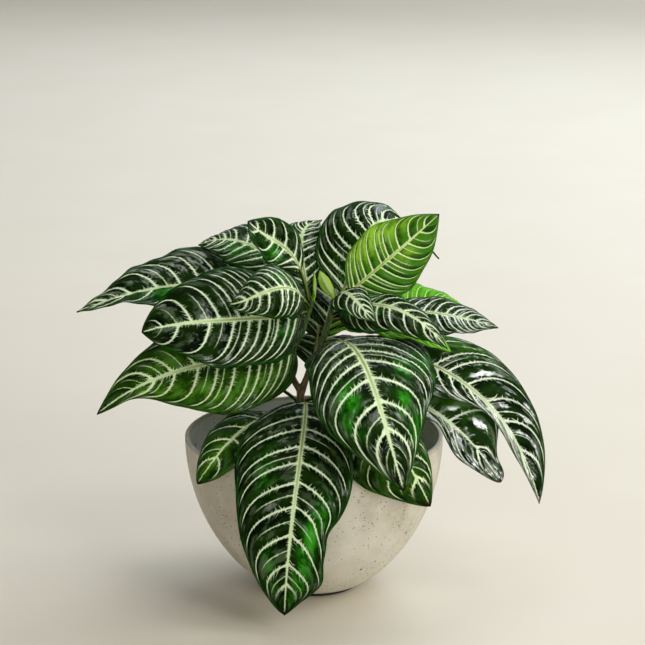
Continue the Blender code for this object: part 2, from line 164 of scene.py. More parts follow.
def turned(profile: list[Pair], sides: int) -> Shape:
    """A solid of revolution about Z.

    Args:
        profile: its open outline as (radius, height) points.
        sides: how many steps the turn has.

    Returns:
        The closed shape, with its faces outwards.
    """
    shape = bmesh.new()
    points = [shape.verts.new((radius, 0.0, height)) for radius, height in profile]
    edges = [shape.edges.new(pair) for pair in zip(points, points[1:])]
    bmesh.ops.spin(
        shape, geom=points + edges, cent=(0, 0, 0), axis=(0, 0, 1), angle=TAU, steps=sides, use_merge=True
    )
    bmesh.ops.remove_doubles(shape, verts=shape.verts, dist=0.01)
    bmesh.ops.recalc_face_normals(shape, faces=shape.faces)
    return shape


# Node wiring


class Wiring:
    """Adds nodes to one node tree and links them."""

    def __init__(self, tree: Tree) -> None:
        """Takes the tree to work in."""
        self.tree = tree

    def node(self, kind: str, fed: dict[str, Value] | None = None, **settings) -> bpy.types.Node:
        """A new node with its settings, and with what is fed to its sockets by their names."""
        made = self.tree.nodes.new(kind)
        for name, value in settings.items():
            setattr(made, name, value)
        for name, value in (fed or {}).items():
            self.feed(made.inputs[name], value)
        return made

    def feed(self, socket: Socket, value: Value) -> None:
        """Links a socket to another, or gives it a plain value."""
        if isinstance(value, Socket):
            self.tree.links.new(value, socket)
        else:
            socket.default_value = value

    def math(self, operation: str, *values: Value, clamp: bool = False) -> Socket:
        """The result of a Math node."""
        made = self.node("ShaderNodeMath", operation=operation, use_clamp=clamp)
        for socket, value in zip(made.inputs, values):
            self.feed(socket, value)
        return made.outputs[0]

    def times(self, first: Value, *others: Value, clamp: bool = False) -> Socket:
        """The product of two or more values."""
        for other in others[:-1]:
            first = self.math("MULTIPLY", first, other)
        return self.math("MULTIPLY", first, others[-1], clamp=clamp)

    def scaled(self, value: Value, factor: Value, plus: Value, clamp: bool = False) -> Socket:
        """A value times a factor, plus another value."""
        return self.math("MULTIPLY_ADD", value, factor, plus, clamp=clamp)

    def spread(
        self, value: Value, low: Value, high: Value, to_low: Value = 0.0, to_high: Value = 1.0
    ) -> Socket:
        """A value eased from one range to another, and clamped."""
        fed = {"Value": value, "From Min": low, "From Max": high, "To Min": to_low, "To Max": to_high}
        return self.node("ShaderNodeMapRange", fed, interpolation_type="SMOOTHSTEP").outputs["Result"]

    def mix(self, share: Value, first: Value, second: Value) -> Socket:
        """Two colours mixed by a share."""
        made = self.node("ShaderNodeMix", {"Factor": share}, data_type="RGBA")
        colours = [socket for socket in made.inputs if socket.type == "RGBA"]
        for socket, value in zip(colours, (first, second)):
            self.feed(socket, value)
        return next(socket for socket in made.outputs if socket.type == "RGBA")

    def noise(self, where: Socket, scale: float, detail: float, rough: float, space: str = "3D") -> Socket:
        """A smooth noise over some coordinates, from 0 to 1."""
        fed = {"Vector": where, "Scale": scale, "Detail": detail, "Roughness": rough}
        return self.node("ShaderNodeTexNoise", fed, noise_dimensions=space).outputs["Fac"]

    def cells(self, position: Socket) -> tuple[Socket, Socket]:
        """Random cells along a line: a place's distance from its cell's middle, and the cell's chance."""
        fed = {"W": position, "Scale": 1.0}
        made = self.node("ShaderNodeTexVoronoi", fed, voronoi_dimensions="1D", feature="F1")
        return made.outputs["Distance"], self.split(made.outputs["Color"])[0]

    def split(self, vector: Socket) -> Outputs:
        """A vector's three components."""
        return self.node("ShaderNodeSeparateXYZ", {"Vector": vector}).outputs

    def place(self) -> Socket:
        """The object's own coordinates."""
        return self.node("ShaderNodeTexCoord").outputs["Object"]

    def chart(self, name: str) -> Socket:
        """One of the piece's own UV maps."""
        return self.node("ShaderNodeUVMap", uv_map=name).outputs["UV"]

    def bump(self, height: Socket, distance: float, strength: float) -> Socket:
        """A normal bent by a height, over a distance in metres."""
        fed = {"Height": height, "Distance": distance, "Strength": strength}
        return self.node("ShaderNodeBump", fed).outputs["Normal"]


def new_group(name: str, vectors: list[str], numbers: list[str], results: list[str]) -> Tree:
    """An empty shader node group with named sockets.

    Args:
        name: the group's name.
        vectors: the names of its inputs that are vectors.
        numbers: the names of its inputs that are numbers.
        results: the names of its outputs, all of them numbers.

    Returns:
        The group, with its input and output nodes in place.
    """
    group = bpy.data.node_groups.new(name, "ShaderNodeTree")
    for label in vectors:
        group.interface.new_socket(label, in_out="INPUT", socket_type="NodeSocketVector")
    for label in numbers:
        group.interface.new_socket(label, in_out="INPUT", socket_type="NodeSocketFloat")
    for label in results:
        group.interface.new_socket(label, in_out="OUTPUT", socket_type="NodeSocketFloat")
    group.nodes.new("NodeGroupInput")
    group.nodes.new("NodeGroupOutput")
    return group


def ends(group: Tree) -> tuple[Outputs, bpy.types.NodeInputs]:
    """A group's own input sockets and output sockets, as seen from inside it."""
    return group.nodes["Group Input"].outputs, group.nodes["Group Output"].inputs


def new_material(name: str) -> tuple[Material, Wiring, bpy.types.NodeInputs]:
    """A material with a Principled BSDF, its wiring and the shader's sockets."""
    made = bpy.data.materials.new(name)
    made.use_nodes = True
    return made, Wiring(made.node_tree), made.node_tree.nodes["Principled BSDF"].inputs


# Veins


@dataclass(frozen=True)
class Teeth:
    """One row of spikes along a vein.

    spacing and base, the half width of a spike's foot, are in millimetres. share is the longest spike's
    part of the spike length, rarity makes long ones rarer and lean tilts them along the vein.
    """

    spacing: float
    base: float
    share: float
    rarity: float
    lean: float


@dataclass(frozen=True)
class SpikedLine:
    """A pale line with thin spikes along both edges, as the veins of a zebra plant have.

    The shifts keep the rows of spikes, and lines of different seeds, from looking alike. The wobble varies
    the line's width, and softness is the width of its blurred edge in millimetres.
    """

    rows: tuple[Teeth, ...] = (
        Teeth(3.2, 0.3, 1.0, 1.1, -0.5),
        Teeth(1.9, 0.28, 0.55, 0.8, 0.15),
        Teeth(1.1, 0.35, 0.16, 0.8, -0.4),
    )
    seed_shift: float = 7.31
    row_shift: float = 17.0
    wobble_shift: float = 3.7
    wobble_scale: float = 0.45
    wobble_range: Pair = (0.78, 1.22)
    softness: float = 0.35

    def group(self) -> Tree:
        """The line's node group.

        Returns:
            The group. Distances are in millimetres; its mask is 1 on the line.
        """
        numbers = ["Distance", "Half Width", "Along", "Seed", "Spike Length"]
        group = new_group("spiked line", [], numbers, ["Mask"])
        wire = Wiring(group)
        given, out = ends(group)
        spikes = 0.0
        for row in self.rows:
            slanted = wire.scaled(given["Distance"], row.lean, given["Along"])
            shift = wire.scaled(given["Seed"], self.seed_shift, self.row_shift * row.spacing)
            distance, chance = wire.cells(wire.scaled(slanted, 1 / row.spacing, shift))
            spike = wire.scaled(distance, -row.spacing / row.base, 1.0, clamp=True)
            spike = wire.times(spike, wire.math("POWER", chance, row.rarity), row.share)
            spikes = wire.math("MAXIMUM", spikes, spike)
        where = wire.scaled(given["Seed"], self.wobble_shift, given["Along"])
        fed = {"W": where, "Scale": self.wobble_scale}
        wobble = wire.node("ShaderNodeTexNoise", fed, noise_dimensions="1D").outputs["Fac"]
        edge = wire.times(given["Half Width"], wire.spread(wobble, 0.2, 0.8, *self.wobble_range))
        edge = wire.scaled(spikes, given["Spike Length"], edge)
        past = wire.math("DIVIDE", wire.math("SUBTRACT", given["Distance"], edge), self.softness)
        wire.feed(out["Mask"], wire.spread(past, -1.0, 1.0, 1.0, 0.0))
        return group


@dataclass
class VeinPattern:
    """Midrib, side veins and the short streaks between them, from the leaf's own charts.

    Pairs are the ends of a range over which something eases in or out. Most are shares: of the blade's
    length, of the way from midrib to margin, or of what they bound. flare_across, thin_pitch and
    streak_edge are in millimetres, and so is streak_length, the least and what chance adds at most.
    """

    line: Tree
    rib_tip: Pair = (0.5, 1.02)
    rib_tip_width: float = 0.22
    rib_foot: Pair = (-0.02, 0.16)
    rib_foot_width: float = 0.5
    bristle_start: Pair = (0.02, 0.2)
    bristle_end: Pair = (0.6, 0.95)
    bristle_least: float = 0.3
    core_edge: Pair = (0.3, 0.75)
    core_end: Pair = (0.35, 0.75)
    vein_taper: Pair = (0.2, 1.0)
    vein_least: float = 0.4
    vein_of_pitch: float = 0.12
    flare: float = 1.5
    flare_across: Pair = (1.5, 6.0)
    closing_reach: Pair = (0.86, 0.97)
    spikes_reach: Pair = (0.3, 0.9)
    spikes_least: float = 0.15
    spikes_of_pitch: float = 0.42
    blade_start: Pair = (0.0, 0.03)
    blade_end: Pair = (0.87, 0.96)
    thin_chance: Pair = (0.25, 0.5)
    thin_half_width: float = 0.34
    thin_pitch: Pair = (5.5, 8.0)
    thin_spikes: float = 4.0
    thin_fade: float = 0.3
    thin_strength: float = 0.8
    streaks_per_vein: float = 4.0
    streak_edge: Pair = (0.1, 0.4)
    streak_rarity: float = 2.2
    streak_length: Pair = (1.5, 10.0)
    streak_end: Pair = (0.35, 1.0)
    streak_strength: float = 0.75
    streaks_start: Pair = (0.12, 0.3)
    streaks_end: Pair = (0.75, 0.9)

    def __post_init__(self) -> None:
        """Makes the group's sockets and what several of its parts need."""
        charts = ["Rib", "Vein", "Run", "Blade"]
        self.group = new_group(
            "veins", charts, ["Rib Width", "Vein Width", "Spike Length", "Combs"],
            ["Midrib", "Rib Core", "Side Veins", "Crown", "Onward", "Wrinkles", "Smears"],
        )
        self.wire = wire = Wiring(self.group)
        self.given, self.out = ends(self.group)
        rib, vein, run, blade = (wire.split(self.given[name]) for name in charts)
        self.across = wire.math("ABSOLUTE", rib[0])
        self.side = wire.math("SIGN", rib[0])
        self.up_rib = rib[1]
        self.number, self.pitch = vein[0], vein[1]
        self.run, self.reach = run[0], run[1]
        self.blade = blade[0]
        self.near = wire.math("ROUND", self.number)
        self.off = wire.math("SUBTRACT", self.number, self.near)
        # Uneven factors, here and below, keep what chance gives to neighbouring veins apart.
        self.cell = wire.scaled(self.side, 31.0, wire.times(wire.math("FLOOR", self.number), 5.7))
        self.on_blade = wire.times(
            wire.spread(self.blade, *self.blade_start), wire.spread(self.blade, *self.blade_end, 1.0, 0.0)
        )

    def drawn(self, distance: Socket, half: Socket, along: Socket, seed: Socket, spikes: Socket) -> Socket:
        """The mask of one spiked line.

        Args:
            distance: how far a place is from the line's middle.
            half: the line's half width.
            along: the way along it.
            seed: what makes its spikes its own.
            spikes: the length of its longest spikes.

        Returns:
            The mask.
        """
        fed = {"Distance": distance, "Half Width": half, "Along": along, "Seed": seed}
        fed["Spike Length"] = spikes
        return self.wire.node("ShaderNodeGroup", fed, node_tree=self.line).outputs["Mask"]

    def draw_midrib(self) -> None:
        """Feeds the masks of the midrib and of its darker core."""
        wire, blade = self.wire, self.blade
        taper = wire.spread(blade, *self.rib_tip, 1.0, self.rib_tip_width)
        taper = wire.times(taper, wire.spread(blade, *self.rib_foot, self.rib_foot_width, 1.0))
        half = wire.times(self.given["Rib Width"], taper)
        bristle = wire.spread(blade, *self.bristle_end, 1.0, self.bristle_least)
        bristle = wire.times(wire.spread(blade, *self.bristle_start), bristle)
        spikes = wire.times(self.given["Spike Length"], bristle)
        wire.feed(self.out["Midrib"], self.drawn(self.across, half, self.up_rib, self.side, spikes))
        core = wire.spread(wire.math("DIVIDE", self.across, half), *self.core_edge, 1.0, 0.0)
        wire.feed(self.out["Rib Core"], wire.times(core, wire.spread(blade, *self.core_end, 1.0, 0.0)))

    def side_veins(self) -> Socket:
        """The mask of the side veins, which thin out and close before the margin.

        Returns:
            The mask.
        """
        wire = self.wire
        distance = wire.times(wire.math("ABSOLUTE", self.off), self.pitch)
        width = wire.spread(self.reach, *self.vein_taper, 1.0, self.vein_least)
        width = wire.times(self.given["Vein Width"], width)
        width = wire.math("MINIMUM", width, wire.times(self.pitch, self.vein_of_pitch))
        closing = wire.spread(self.reach, *self.closing_reach, 1.0, 0.0)
        width = wire.times(width, wire.spread(self.across, *self.flare_across, self.flare, 1.0), closing)
        seed = wire.scaled(self.near, 1.37, wire.math("SIGN", self.off))
        seed = wire.math("ADD", seed, wire.times(self.side, 5.0))
        length = wire.spread(self.reach, *self.spikes_reach, 1.0, self.spikes_least)
        length = wire.times(self.given["Spike Length"], length)
        length = wire.math("MINIMUM", length, wire.times(self.pitch, self.spikes_of_pitch))
        mask = self.drawn(distance, width, self.run, seed, wire.times(length, closing))
        return wire.times(mask, wire.times(closing, self.on_blade))

    def thin_veins(self) -> Socket:
        """The mask of a thin short vein between some pairs of side veins.

        Returns:
            The mask.
        """
        wire = self.wire
        chance = wire.node("ShaderNodeTexWhiteNoise", {"W": self.cell}, noise_dimensions="1D")
        luck = chance.outputs["Value"]
        off = wire.math("SUBTRACT", wire.math("FRACT", self.number), wire.scaled(luck, 0.2, 0.4))
        width = wire.spread(luck, *self.thin_chance, 0.0, self.thin_half_width)
        width = wire.times(width, wire.spread(self.pitch, *self.thin_pitch))
        distance = wire.times(wire.math("ABSOLUTE", off), self.pitch)
        mask = self.drawn(distance, width, self.run, self.cell, wire.times(width, self.thin_spikes))
        ending = wire.scaled(luck, 0.5, 0.15)
        ended = wire.math("ADD", ending, self.thin_fade)
        fading = wire.spread(self.reach, ending, ended, self.thin_strength, 0.0)
        fading = wire.times(fading, wire.times(wire.spread(width, 0.05, 0.2), self.on_blade))
        return wire.times(mask, fading)

    def streaks(self) -> Socket:
        """The mask of the short pale streaks that stand beside the midrib like combs.

        Returns:
            The mask.
        """
        wire = self.wire
        where = wire.scaled(self.number, self.streaks_per_vein, wire.times(self.side, 13.7))
        distance, chance = wire.cells(where)
        distance = wire.times(distance, 1 / self.streaks_per_vein, self.pitch)
        shortest, longer = self.streak_length
        length = wire.scaled(wire.math("POWER", chance, self.streak_rarity), longer, shortest)
        share = wire.math("DIVIDE", self.across, length)
        streak = wire.spread(share, *self.streak_end, self.streak_strength, 0.0)
        streak = wire.times(wire.spread(distance, *self.streak_edge, 1.0, 0.0), streak)
        combed = wire.spread(self.blade, *self.streaks_end, 1.0, 0.0)
        combed = wire.times(wire.spread(self.blade, *self.streaks_start), combed)
        return wire.times(streak, wire.times(combed, self.given["Combs"]))

    def crease(self) -> None:
        """Feeds the tissue's wrinkles across the veins and its long smears between them."""
        wire = self.wire
        crown = wire.times(wire.math("ABSOLUTE", self.off), 2.0)
        wire.feed(self.out["Crown"], crown)
        wire.feed(self.out["Onward"], wire.math("FRACT", self.number))
        for name, run_pitch, vein_pitch in (("Wrinkles", 0.3, 1.3), ("Smears", 0.075, 2.6)):
            fed = {"X": wire.scaled(self.run, run_pitch, self.cell)}
            fed["Y"] = wire.times(self.number, vein_pitch)
            where = wire.node("ShaderNodeCombineXYZ", fed).outputs["Vector"]
            folds = wire.spread(wire.noise(where, 1.0, 3.0, 0.6, "2D"), 0.3, 0.7)
            wire.feed(self.out[name], wire.times(wire.spread(crown, 0.05, 0.5), folds))

    def build(self) -> Tree:
        """Wires the whole group.

        Returns:
            The group: masks of the midrib, its darker core and the side veins, how far a place is from its
            nearest vein (1 is midway), its share of the way from one vein to the next, and the tissue's
            wrinkles and smears.
        """
        self.draw_midrib()
        shown = self.wire.math("MAXIMUM", self.side_veins(), self.thin_veins())
        self.wire.feed(self.out["Side Veins"], self.wire.math("MAXIMUM", shown, self.streaks()))
        self.crease()
        return self.group


# Finishes


@dataclass(frozen=True)
class LeafColours:
    """The colours and gloss of one kind of leaf. Widths and spikes are in millimetres."""

    deep: str
    tissue: str
    # glow is the pale green of painted light shining through the leaf; fresh kinds' under sides also use it
    # for random patches.
    glow: str
    vein: str
    rib: str
    stalk: str
    edge: str
    roughness: float = 0.42
    shine: float = 0.55
    rib_width: float = 2.0
    vein_width: float = 0.8
    spikes: float = 5.2
    combs: float = 0.6
    slant: float = 0.25
    coat_ior: float = 1.6
    coat_roughness: float = 0.2


class LeafKind(Enum):
    """The kinds of leaf on the plant."""

    DARK = LeafColours("030E00", "142C03", "2C9A0A", "D8EAC0", "CCE0AC", "838A46", "10180A")
    # SHADE is the dark leaf's look as painted for leaves that hang in shade: greener tissue and yellower
    # veins stand in for light through the leaf.
    SHADE = LeafColours("081C02", "1F4407", "66AC1A", "DDF0B8", "D2E8AC", "838A46", "12200A", shine=0.35)
    GLOSSY = LeafColours(
        "051502", "193408", "4E8A26", "E4F0D6", "D4E4BC", "838A46", "12200A",
        shine=0.75, coat_ior=2.5, coat_roughness=0.24,
    )
    # FRESH is a young leaf's lighter green, made brighter and yellower as painted light shining through it
    # from behind.
    FRESH = LeafColours(
        "1A4A08", "437E14", "8CC02E", "E2F2B2", "CFE498", "8CA640", "24450E",
        shine=0.3, spikes=1.1, combs=0.1, slant=0.75,
    )
    LIME = LeafColours(
        "3F8A0E", "5FA516", "8CCB30", "B9DC6A", "B9DC6A", "A9BC4A", "3A6A10",
        shine=0.3, rib_width=1.8, vein_width=0.7, spikes=0.8, combs=0.0,
    )
    YOUNG = LeafColours(
        "5C9A18", "86B92A", "B4DC48", "D6EC90", "CFE67E", "A9C24A", "5A8A18",
        shine=0.3, rib_width=0.8, vein_width=0.5, spikes=0.5, combs=0.0,
    )


FRESH_KINDS = (LeafKind.FRESH, LeafKind.LIME, LeafKind.YOUNG)


@dataclass(frozen=True)
class LeafFinish:
    """Both sides of one kind of leaf.

    The upper side is dark quilted tissue with pale spiked veins and a wax that lies in patches, with a
    grey-green sheen painted under the wax and painted light: pale green patches as light shining through
    the leaf, and darker tissue in the creases beside the veins. The under side is paler and duller, with
    raised veins.
    """

    kind: LeafKind
    veins: Tree
    fleck_edge: Pair = (0.42, 0.78)
    fleck_share: float = 0.8
    margin_glow: float = 0.22
    margin_glow_reach: Pair = (0.5, 5.0)
    wax_least: float = 0.68
    wax_drop: float = 0.12
    wax_ease: float = 0.24
    wax_on_veins: float = 0.5
    painted_sheen: str = "7E9A68"
    painted_sheen_share: float = 0.2
    edge_share: float = 0.6
    edge_reach: Pair = (0.2, 0.9)
    stalk_end: Pair = (0.0, 0.12)
    dry_tip: str = "1A120B"
    dry_tip_at: Pair = (0.965, 0.992)
    gloss_range: Pair = (0.75, 1.35)
    vein_roughness: float = 0.15
    specular: float = 0.02
    grain_height: float = 0.06
    blister_height: float = 1.1
    vein_height: float = 0.25
    wrinkle_height: float = 0.6
    crown_height: float = 0.8
    under_tissue: str = "3A6428"
    under_glow: str = "6B9148"
    under_rib: str = "B7C98A"
    under_vein: str = "A9C07E"

    def pattern(
        self, wire: Wiring, rib_width: float, vein_width: float, spikes: float, combs: float
    ) -> Outputs:
        """The vein group's results for a leaf's charts.

        Args:
            wire: the material's wiring.
            rib_width: the midrib's half width in millimetres.
            vein_width: the side veins' half width.
            spikes: the length of the longest spikes.
            combs: the strength of the streaks beside the midrib.

        Returns:
            The group's outputs.
        """
        fed = {name: wire.chart(name.lower()) for name in ("Rib", "Vein", "Run", "Blade")}
        fed |= {"Rib Width": rib_width, "Vein Width": vein_width, "Spike Length": spikes, "Combs": combs}
        return wire.node("ShaderNodeGroup", fed, node_tree=self.veins).outputs

    def tissue(self, wire: Wiring, pattern: Outputs, glow: Socket, margin: Socket) -> Socket:
        """The colour between the veins.

        Args:
            wire: the material's wiring.
            pattern: the vein group's results.
            glow: the strength of the patches of painted light, pale green as light through the leaf.
            margin: the distance from the margin.

        Returns:
            The colour.
        """
        look, place = self.kind.value, wire.place()
        # Painted shade and light: the tissue is darker beside the veins, in the creases of the quilting,
        # and paler on the crowns between them; noise adds random tone, and slant makes it paler towards the
        # next vein.
        cells = wire.scaled(pattern["Crown"], 0.3, wire.noise(place, 55.0, 3.0, 0.6))
        cells = wire.scaled(wire.spread(pattern["Onward"], 0.1, 0.75), look.slant, cells)
        cells = wire.spread(cells, 0.6, 0.85 + look.slant)
        tissue = wire.mix(cells, tone(look.deep), tone(look.tissue))
        # Painted light: the tissue turns towards the glow colour in the plan's light patches and along the
        # margin, as light shining through the leaf; the flecks break these patches up.
        flecks = wire.scaled(pattern["Smears"], 0.35, wire.noise(place, 110.0, 4.0, 0.6))
        flecks = wire.spread(flecks, *self.fleck_edge)
        flecks = wire.scaled(flecks, self.fleck_share, 1.0 - self.fleck_share)
        rim = wire.spread(margin, *self.margin_glow_reach, self.margin_glow, 0.0)
        lit = wire.times(wire.math("ADD", glow, rim), flecks, clamp=True)
        return wire.mix(lit, tissue, tone(look.glow))

    def wax(self, wire: Wiring, pattern: Outputs, glint: Socket, pale: Socket) -> Socket:
        """Where the waxy coat lies.

        Args:
            wire: the material's wiring.
            pattern: the vein group's results.
            glint: the strength of the waxy patches.
            pale: the mask of all veins.

        Returns:
            The coat's weight.
        """
        smears = wire.scaled(pattern["Smears"], 0.4, wire.noise(wire.place(), 70.0, 4.0, 0.62))
        least = wire.scaled(glint, -self.wax_drop, self.wax_least)
        wax = wire.spread(smears, least, wire.math("ADD", least, self.wax_ease))
        wax = wire.times(wax, wire.math("ADD", glint, self.kind.value.shine))
        return wire.times(wax, wire.scaled(pale, -self.wax_on_veins, 1.0), clamp=True)

    def upper(self) -> Material:
        """Wires the finish.

        Returns:
            The material of the upper side.
        """
        look = self.kind.value
        made, wire, shader = new_material(f"leaf_{self.kind.name.lower()}")
        place = wire.place()
        pattern = self.pattern(wire, look.rib_width, look.vein_width, look.spikes, look.combs)
        blade = wire.split(wire.chart("blade"))
        light = wire.split(wire.chart("light"))
        pale = wire.math("MAXIMUM", pattern["Side Veins"], pattern["Midrib"])
        wax = self.wax(wire, pattern, light[1], pale)
        tissue = self.tissue(wire, pattern, light[0], blade[1])
        # Painted sheen: a grey-green tint laid on the tissue where the wax coat lies, standing in for its
        # reflection.
        tissue = wire.mix(wire.times(wax, self.painted_sheen_share), tissue, tone(self.painted_sheen))
        margin = wire.spread(blade[1], *self.edge_reach, self.edge_share, 0.0)
        margin = wire.times(margin, wire.spread(blade[0], 0.0, 0.06))
        tissue = wire.mix(margin, tissue, tone(look.edge))

        rib = wire.mix(wire.times(pattern["Rib Core"], 0.8), tone(look.rib), tone(look.stalk))
        rib = wire.mix(wire.spread(blade[0], *self.stalk_end), tone(look.stalk), rib)
        dim = wire.spread(wire.noise(place, 38.0, 2.0, 0.5), 0.3, 0.6, 0.82, 1.0)
        veined = wire.mix(wire.times(pattern["Side Veins"], dim), tissue, tone(look.vein))
        veined = wire.mix(pattern["Midrib"], veined, rib)
        veined = wire.mix(wire.spread(blade[0], *self.dry_tip_at), veined, tone(self.dry_tip))
        wire.feed(shader["Base Color"], veined)

        smoothest, roughest = (look.roughness * share for share in self.gloss_range)
        roughness = wire.spread(wire.noise(place, 90.0, 4.0, 0.65), 0.3, 0.7, smoothest, roughest)
        wire.feed(shader["Roughness"], wire.scaled(pale, self.vein_roughness, roughness))
        wire.feed(shader["Coat Weight"], wax)
        wire.feed(shader["Coat Roughness"], look.coat_roughness)
        wire.feed(shader["Coat IOR"], look.coat_ior)
        wire.feed(shader["Specular IOR Level"], self.specular)

        height = wire.times(wire.noise(place, 130.0, 3.0, 0.55), self.blister_height)
        for relief, most in (
            (wire.noise(place, 900.0, 3.0, 0.6), self.grain_height),
            (pale, self.vein_height),
            (pattern["Wrinkles"], self.wrinkle_height),
            (wire.spread(pattern["Crown"], 0.0, 0.9), self.crown_height),
        ):
            height = wire.scaled(relief, most, height)
        wire.feed(shader["Normal"], wire.bump(height, 0.0008, 0.8))
        return made

    def under(self) -> Material:
        """Wires the finish.

        Returns:
            The material of the under side.
        """
        look = self.kind.value
        made, wire, shader = new_material(f"leaf_{self.kind.name.lower()}_underside")
        place = wire.place()
        pattern = self.pattern(wire, 2.0, 0.8, 0.5, 0.0)
        patches = wire.noise(place, 70.0, 4.0, 0.6)
        fresh = self.kind in FRESH_KINDS
        dark, pale = (look.tissue, look.glow) if fresh else (self.under_tissue, self.under_glow)
        along = wire.split(wire.chart("blade"))[0]
        rib = wire.mix(wire.spread(along, 0.0, 0.16), tone(look.stalk), tone(self.under_rib))
        tissue = wire.mix(patches, tone(dark), tone(pale))
        veined = wire.mix(wire.times(pattern["Side Veins"], 0.75), tissue, tone(self.under_vein))
        wire.feed(shader["Base Color"], wire.mix(pattern["Midrib"], veined, rib))
        wire.feed(shader["Roughness"], wire.spread(patches, 0.2, 0.8, 0.5, 0.68))
        raised = wire.math("MAXIMUM", pattern["Side Veins"], pattern["Midrib"])
        height = wire.scaled(wire.noise(place, 700.0, 3.0, 0.6), 0.3, raised)
        wire.feed(shader["Normal"], wire.bump(height, 0.0006, 0.7))
        return made


@dataclass(frozen=True)
class Cement:
    """Pale cement with mottling, a fine grain, dark specks and small pits.

    dark and pale are the two tones of its body. rim_height is where the darker rim band starts, in metres.
    """

    name: str
    dark: str
    pale: str
    mottle: str = "D9D4C6"
    grain: str = "9C927C"
    speck: str = "44392A"
    pit: str = "332B1E"
    rim: str = "8F8A74"
    rim_share: float = 0.45
    rim_height: Pair = (0.1365, 0.1385)

    def dots(self, wire: Wiring, scale: float, size: float, keep: float) -> Socket:
        """The mask of round dots, of which a share is kept.

        Args:
            wire: the material's wiring.
            scale: how closely they stand.
            size: their radius, in cells.
            keep: the share that is kept.

        Returns:
            The mask.
        """
        cells = wire.node("ShaderNodeTexVoronoi", {"Vector": wire.place(), "Scale": scale}, feature="F1")
        chosen = wire.math("LESS_THAN", wire.split(cells.outputs["Color"])[0], keep)
        return wire.times(chosen, wire.spread(cells.outputs["Distance"], size * 0.5, size, 1.0, 0.0))

    def material(self) -> Material:
        """Wires the finish.

        Returns:
            The cement's material.
        """
        made, wire, shader = new_material(self.name)
        place = wire.place()
        blots = wire.noise(place, 70.0, 5.0, 0.65)
        grain = wire.noise(place, 900.0, 2.0, 0.7)
        clusters = wire.spread(wire.noise(place, 22.0, 2.0, 0.5), 0.52, 0.66)
        crowded = wire.times(self.dots(wire, 300.0, 0.26, 0.75), clusters)
        specks = wire.math("MAXIMUM", self.dots(wire, 260.0, 0.18, 0.4), crowded)
        pits = self.dots(wire, 75.0, 0.12, 0.2)
        rim = wire.times(wire.spread(wire.split(place)[2], *self.rim_height), self.rim_share)
        body = wire.spread(wire.noise(place, 14.0, 4.0, 0.55), 0.3, 0.7)
        body = wire.mix(body, tone(self.dark), tone(self.pale))
        for share, colour in (
            (wire.spread(blots, 0.35, 0.75, 0.0, 0.5), self.mottle),
            (wire.spread(grain, 0.55, 0.75, 0.0, 0.3), self.grain),
            (specks, self.speck),
            (pits, self.pit),
            (rim, self.rim),
        ):
            body = wire.mix(share, body, tone(colour))
        wire.feed(shader["Base Color"], body)
        wire.feed(shader["Roughness"], wire.spread(blots, 0.3, 0.7, 0.55, 0.75))
        holes = wire.math("MAXIMUM", pits, wire.times(specks, 0.5))
        height = wire.math("SUBTRACT", wire.scaled(grain, 0.25, wire.times(blots, 0.4)), holes)
        wire.feed(shader["Normal"], wire.bump(height, 0.0006, 0.7))
        return made


@dataclass(frozen=True)
class Crumbly:
    """A matt finish of two tones in lumps, with finer grains in its relief.

    lumps and grains are a noise's scale, detail and roughness. relief is a depth in metres and a strength.
    The values given here are those of potting mix.
    """

    name: str
    dark: str
    pale: str
    lumps: tuple[float, float, float] = (160.0, 6.0, 0.7)
    paling: Pair = (0.35, 0.7)
    roughness: Pair = (0.75, 0.98)
    grains: tuple[float, float, float] = (600.0, 6.0, 0.75)
    relief: Pair = (0.0015, 0.9)

    def material(self) -> Material:
        """Wires the finish.

        Returns:
            Its material.
        """
        made, wire, shader = new_material(self.name)
        place = wire.place()
        lumps = wire.noise(place, *self.lumps)
        colour = wire.mix(wire.spread(lumps, *self.paling), tone(self.dark), tone(self.pale))
        wire.feed(shader["Base Color"], colour)
        wire.feed(shader["Roughness"], wire.spread(lumps, 0.3, 0.7, *self.roughness))
        wire.feed(shader["Normal"], wire.bump(wire.noise(place, *self.grains), *self.relief))
        return made


RUBBER = Crumbly(
    "foot_rubber", "14110E", "2B2621",
    lumps=(180.0, 4.0, 0.6), paling=(0.4, 0.8), roughness=(0.7, 0.9), grains=(900.0, 2.0, 0.6),
    relief=(0.0003, 0.6),
)


@dataclass(frozen=True)
class Bark:
    """The stem: brown and woody at its foot, olive green towards the crown, with fine lengthwise lines.

    greening is where the brown ends, in metres, and line_stretch draws the lines out along the stem.
    """

    wood: Tones = ("4A3B22", "8A7448")
    green: Tones = ("24380E", "50702A")
    greening: Pair = (0.195, 0.25)
    line_stretch: float = 0.12

    def material(self) -> Material:
        """Wires the finish.

        Returns:
            The bark's material.
        """
        made, wire, shader = new_material("stem_bark")
        place = wire.place()
        blots = wire.noise(place, 120.0, 4.0, 0.6)
        fed = {"Vector": place, "Scale": (1.0, 1.0, self.line_stretch)}
        lines = wire.noise(wire.node("ShaderNodeMapping", fed).outputs["Vector"], 900.0, 3.0, 0.6)
        rising = wire.scaled(blots, 0.03, wire.split(place)[2])
        share = wire.spread(lines, 0.35, 0.7)
        wood, green = (wire.mix(share, tone(dark), tone(pale)) for dark, pale in (self.wood, self.green))
        wire.feed(shader["Base Color"], wire.mix(wire.spread(rising, *self.greening), wood, green))
        wire.feed(shader["Roughness"], wire.spread(blots, 0.3, 0.7, 0.45, 0.65))
        wire.feed(shader["Normal"], wire.bump(wire.scaled(blots, 0.6, lines), 0.0005, 0.7))
        return made


# Bowl, soil and stem


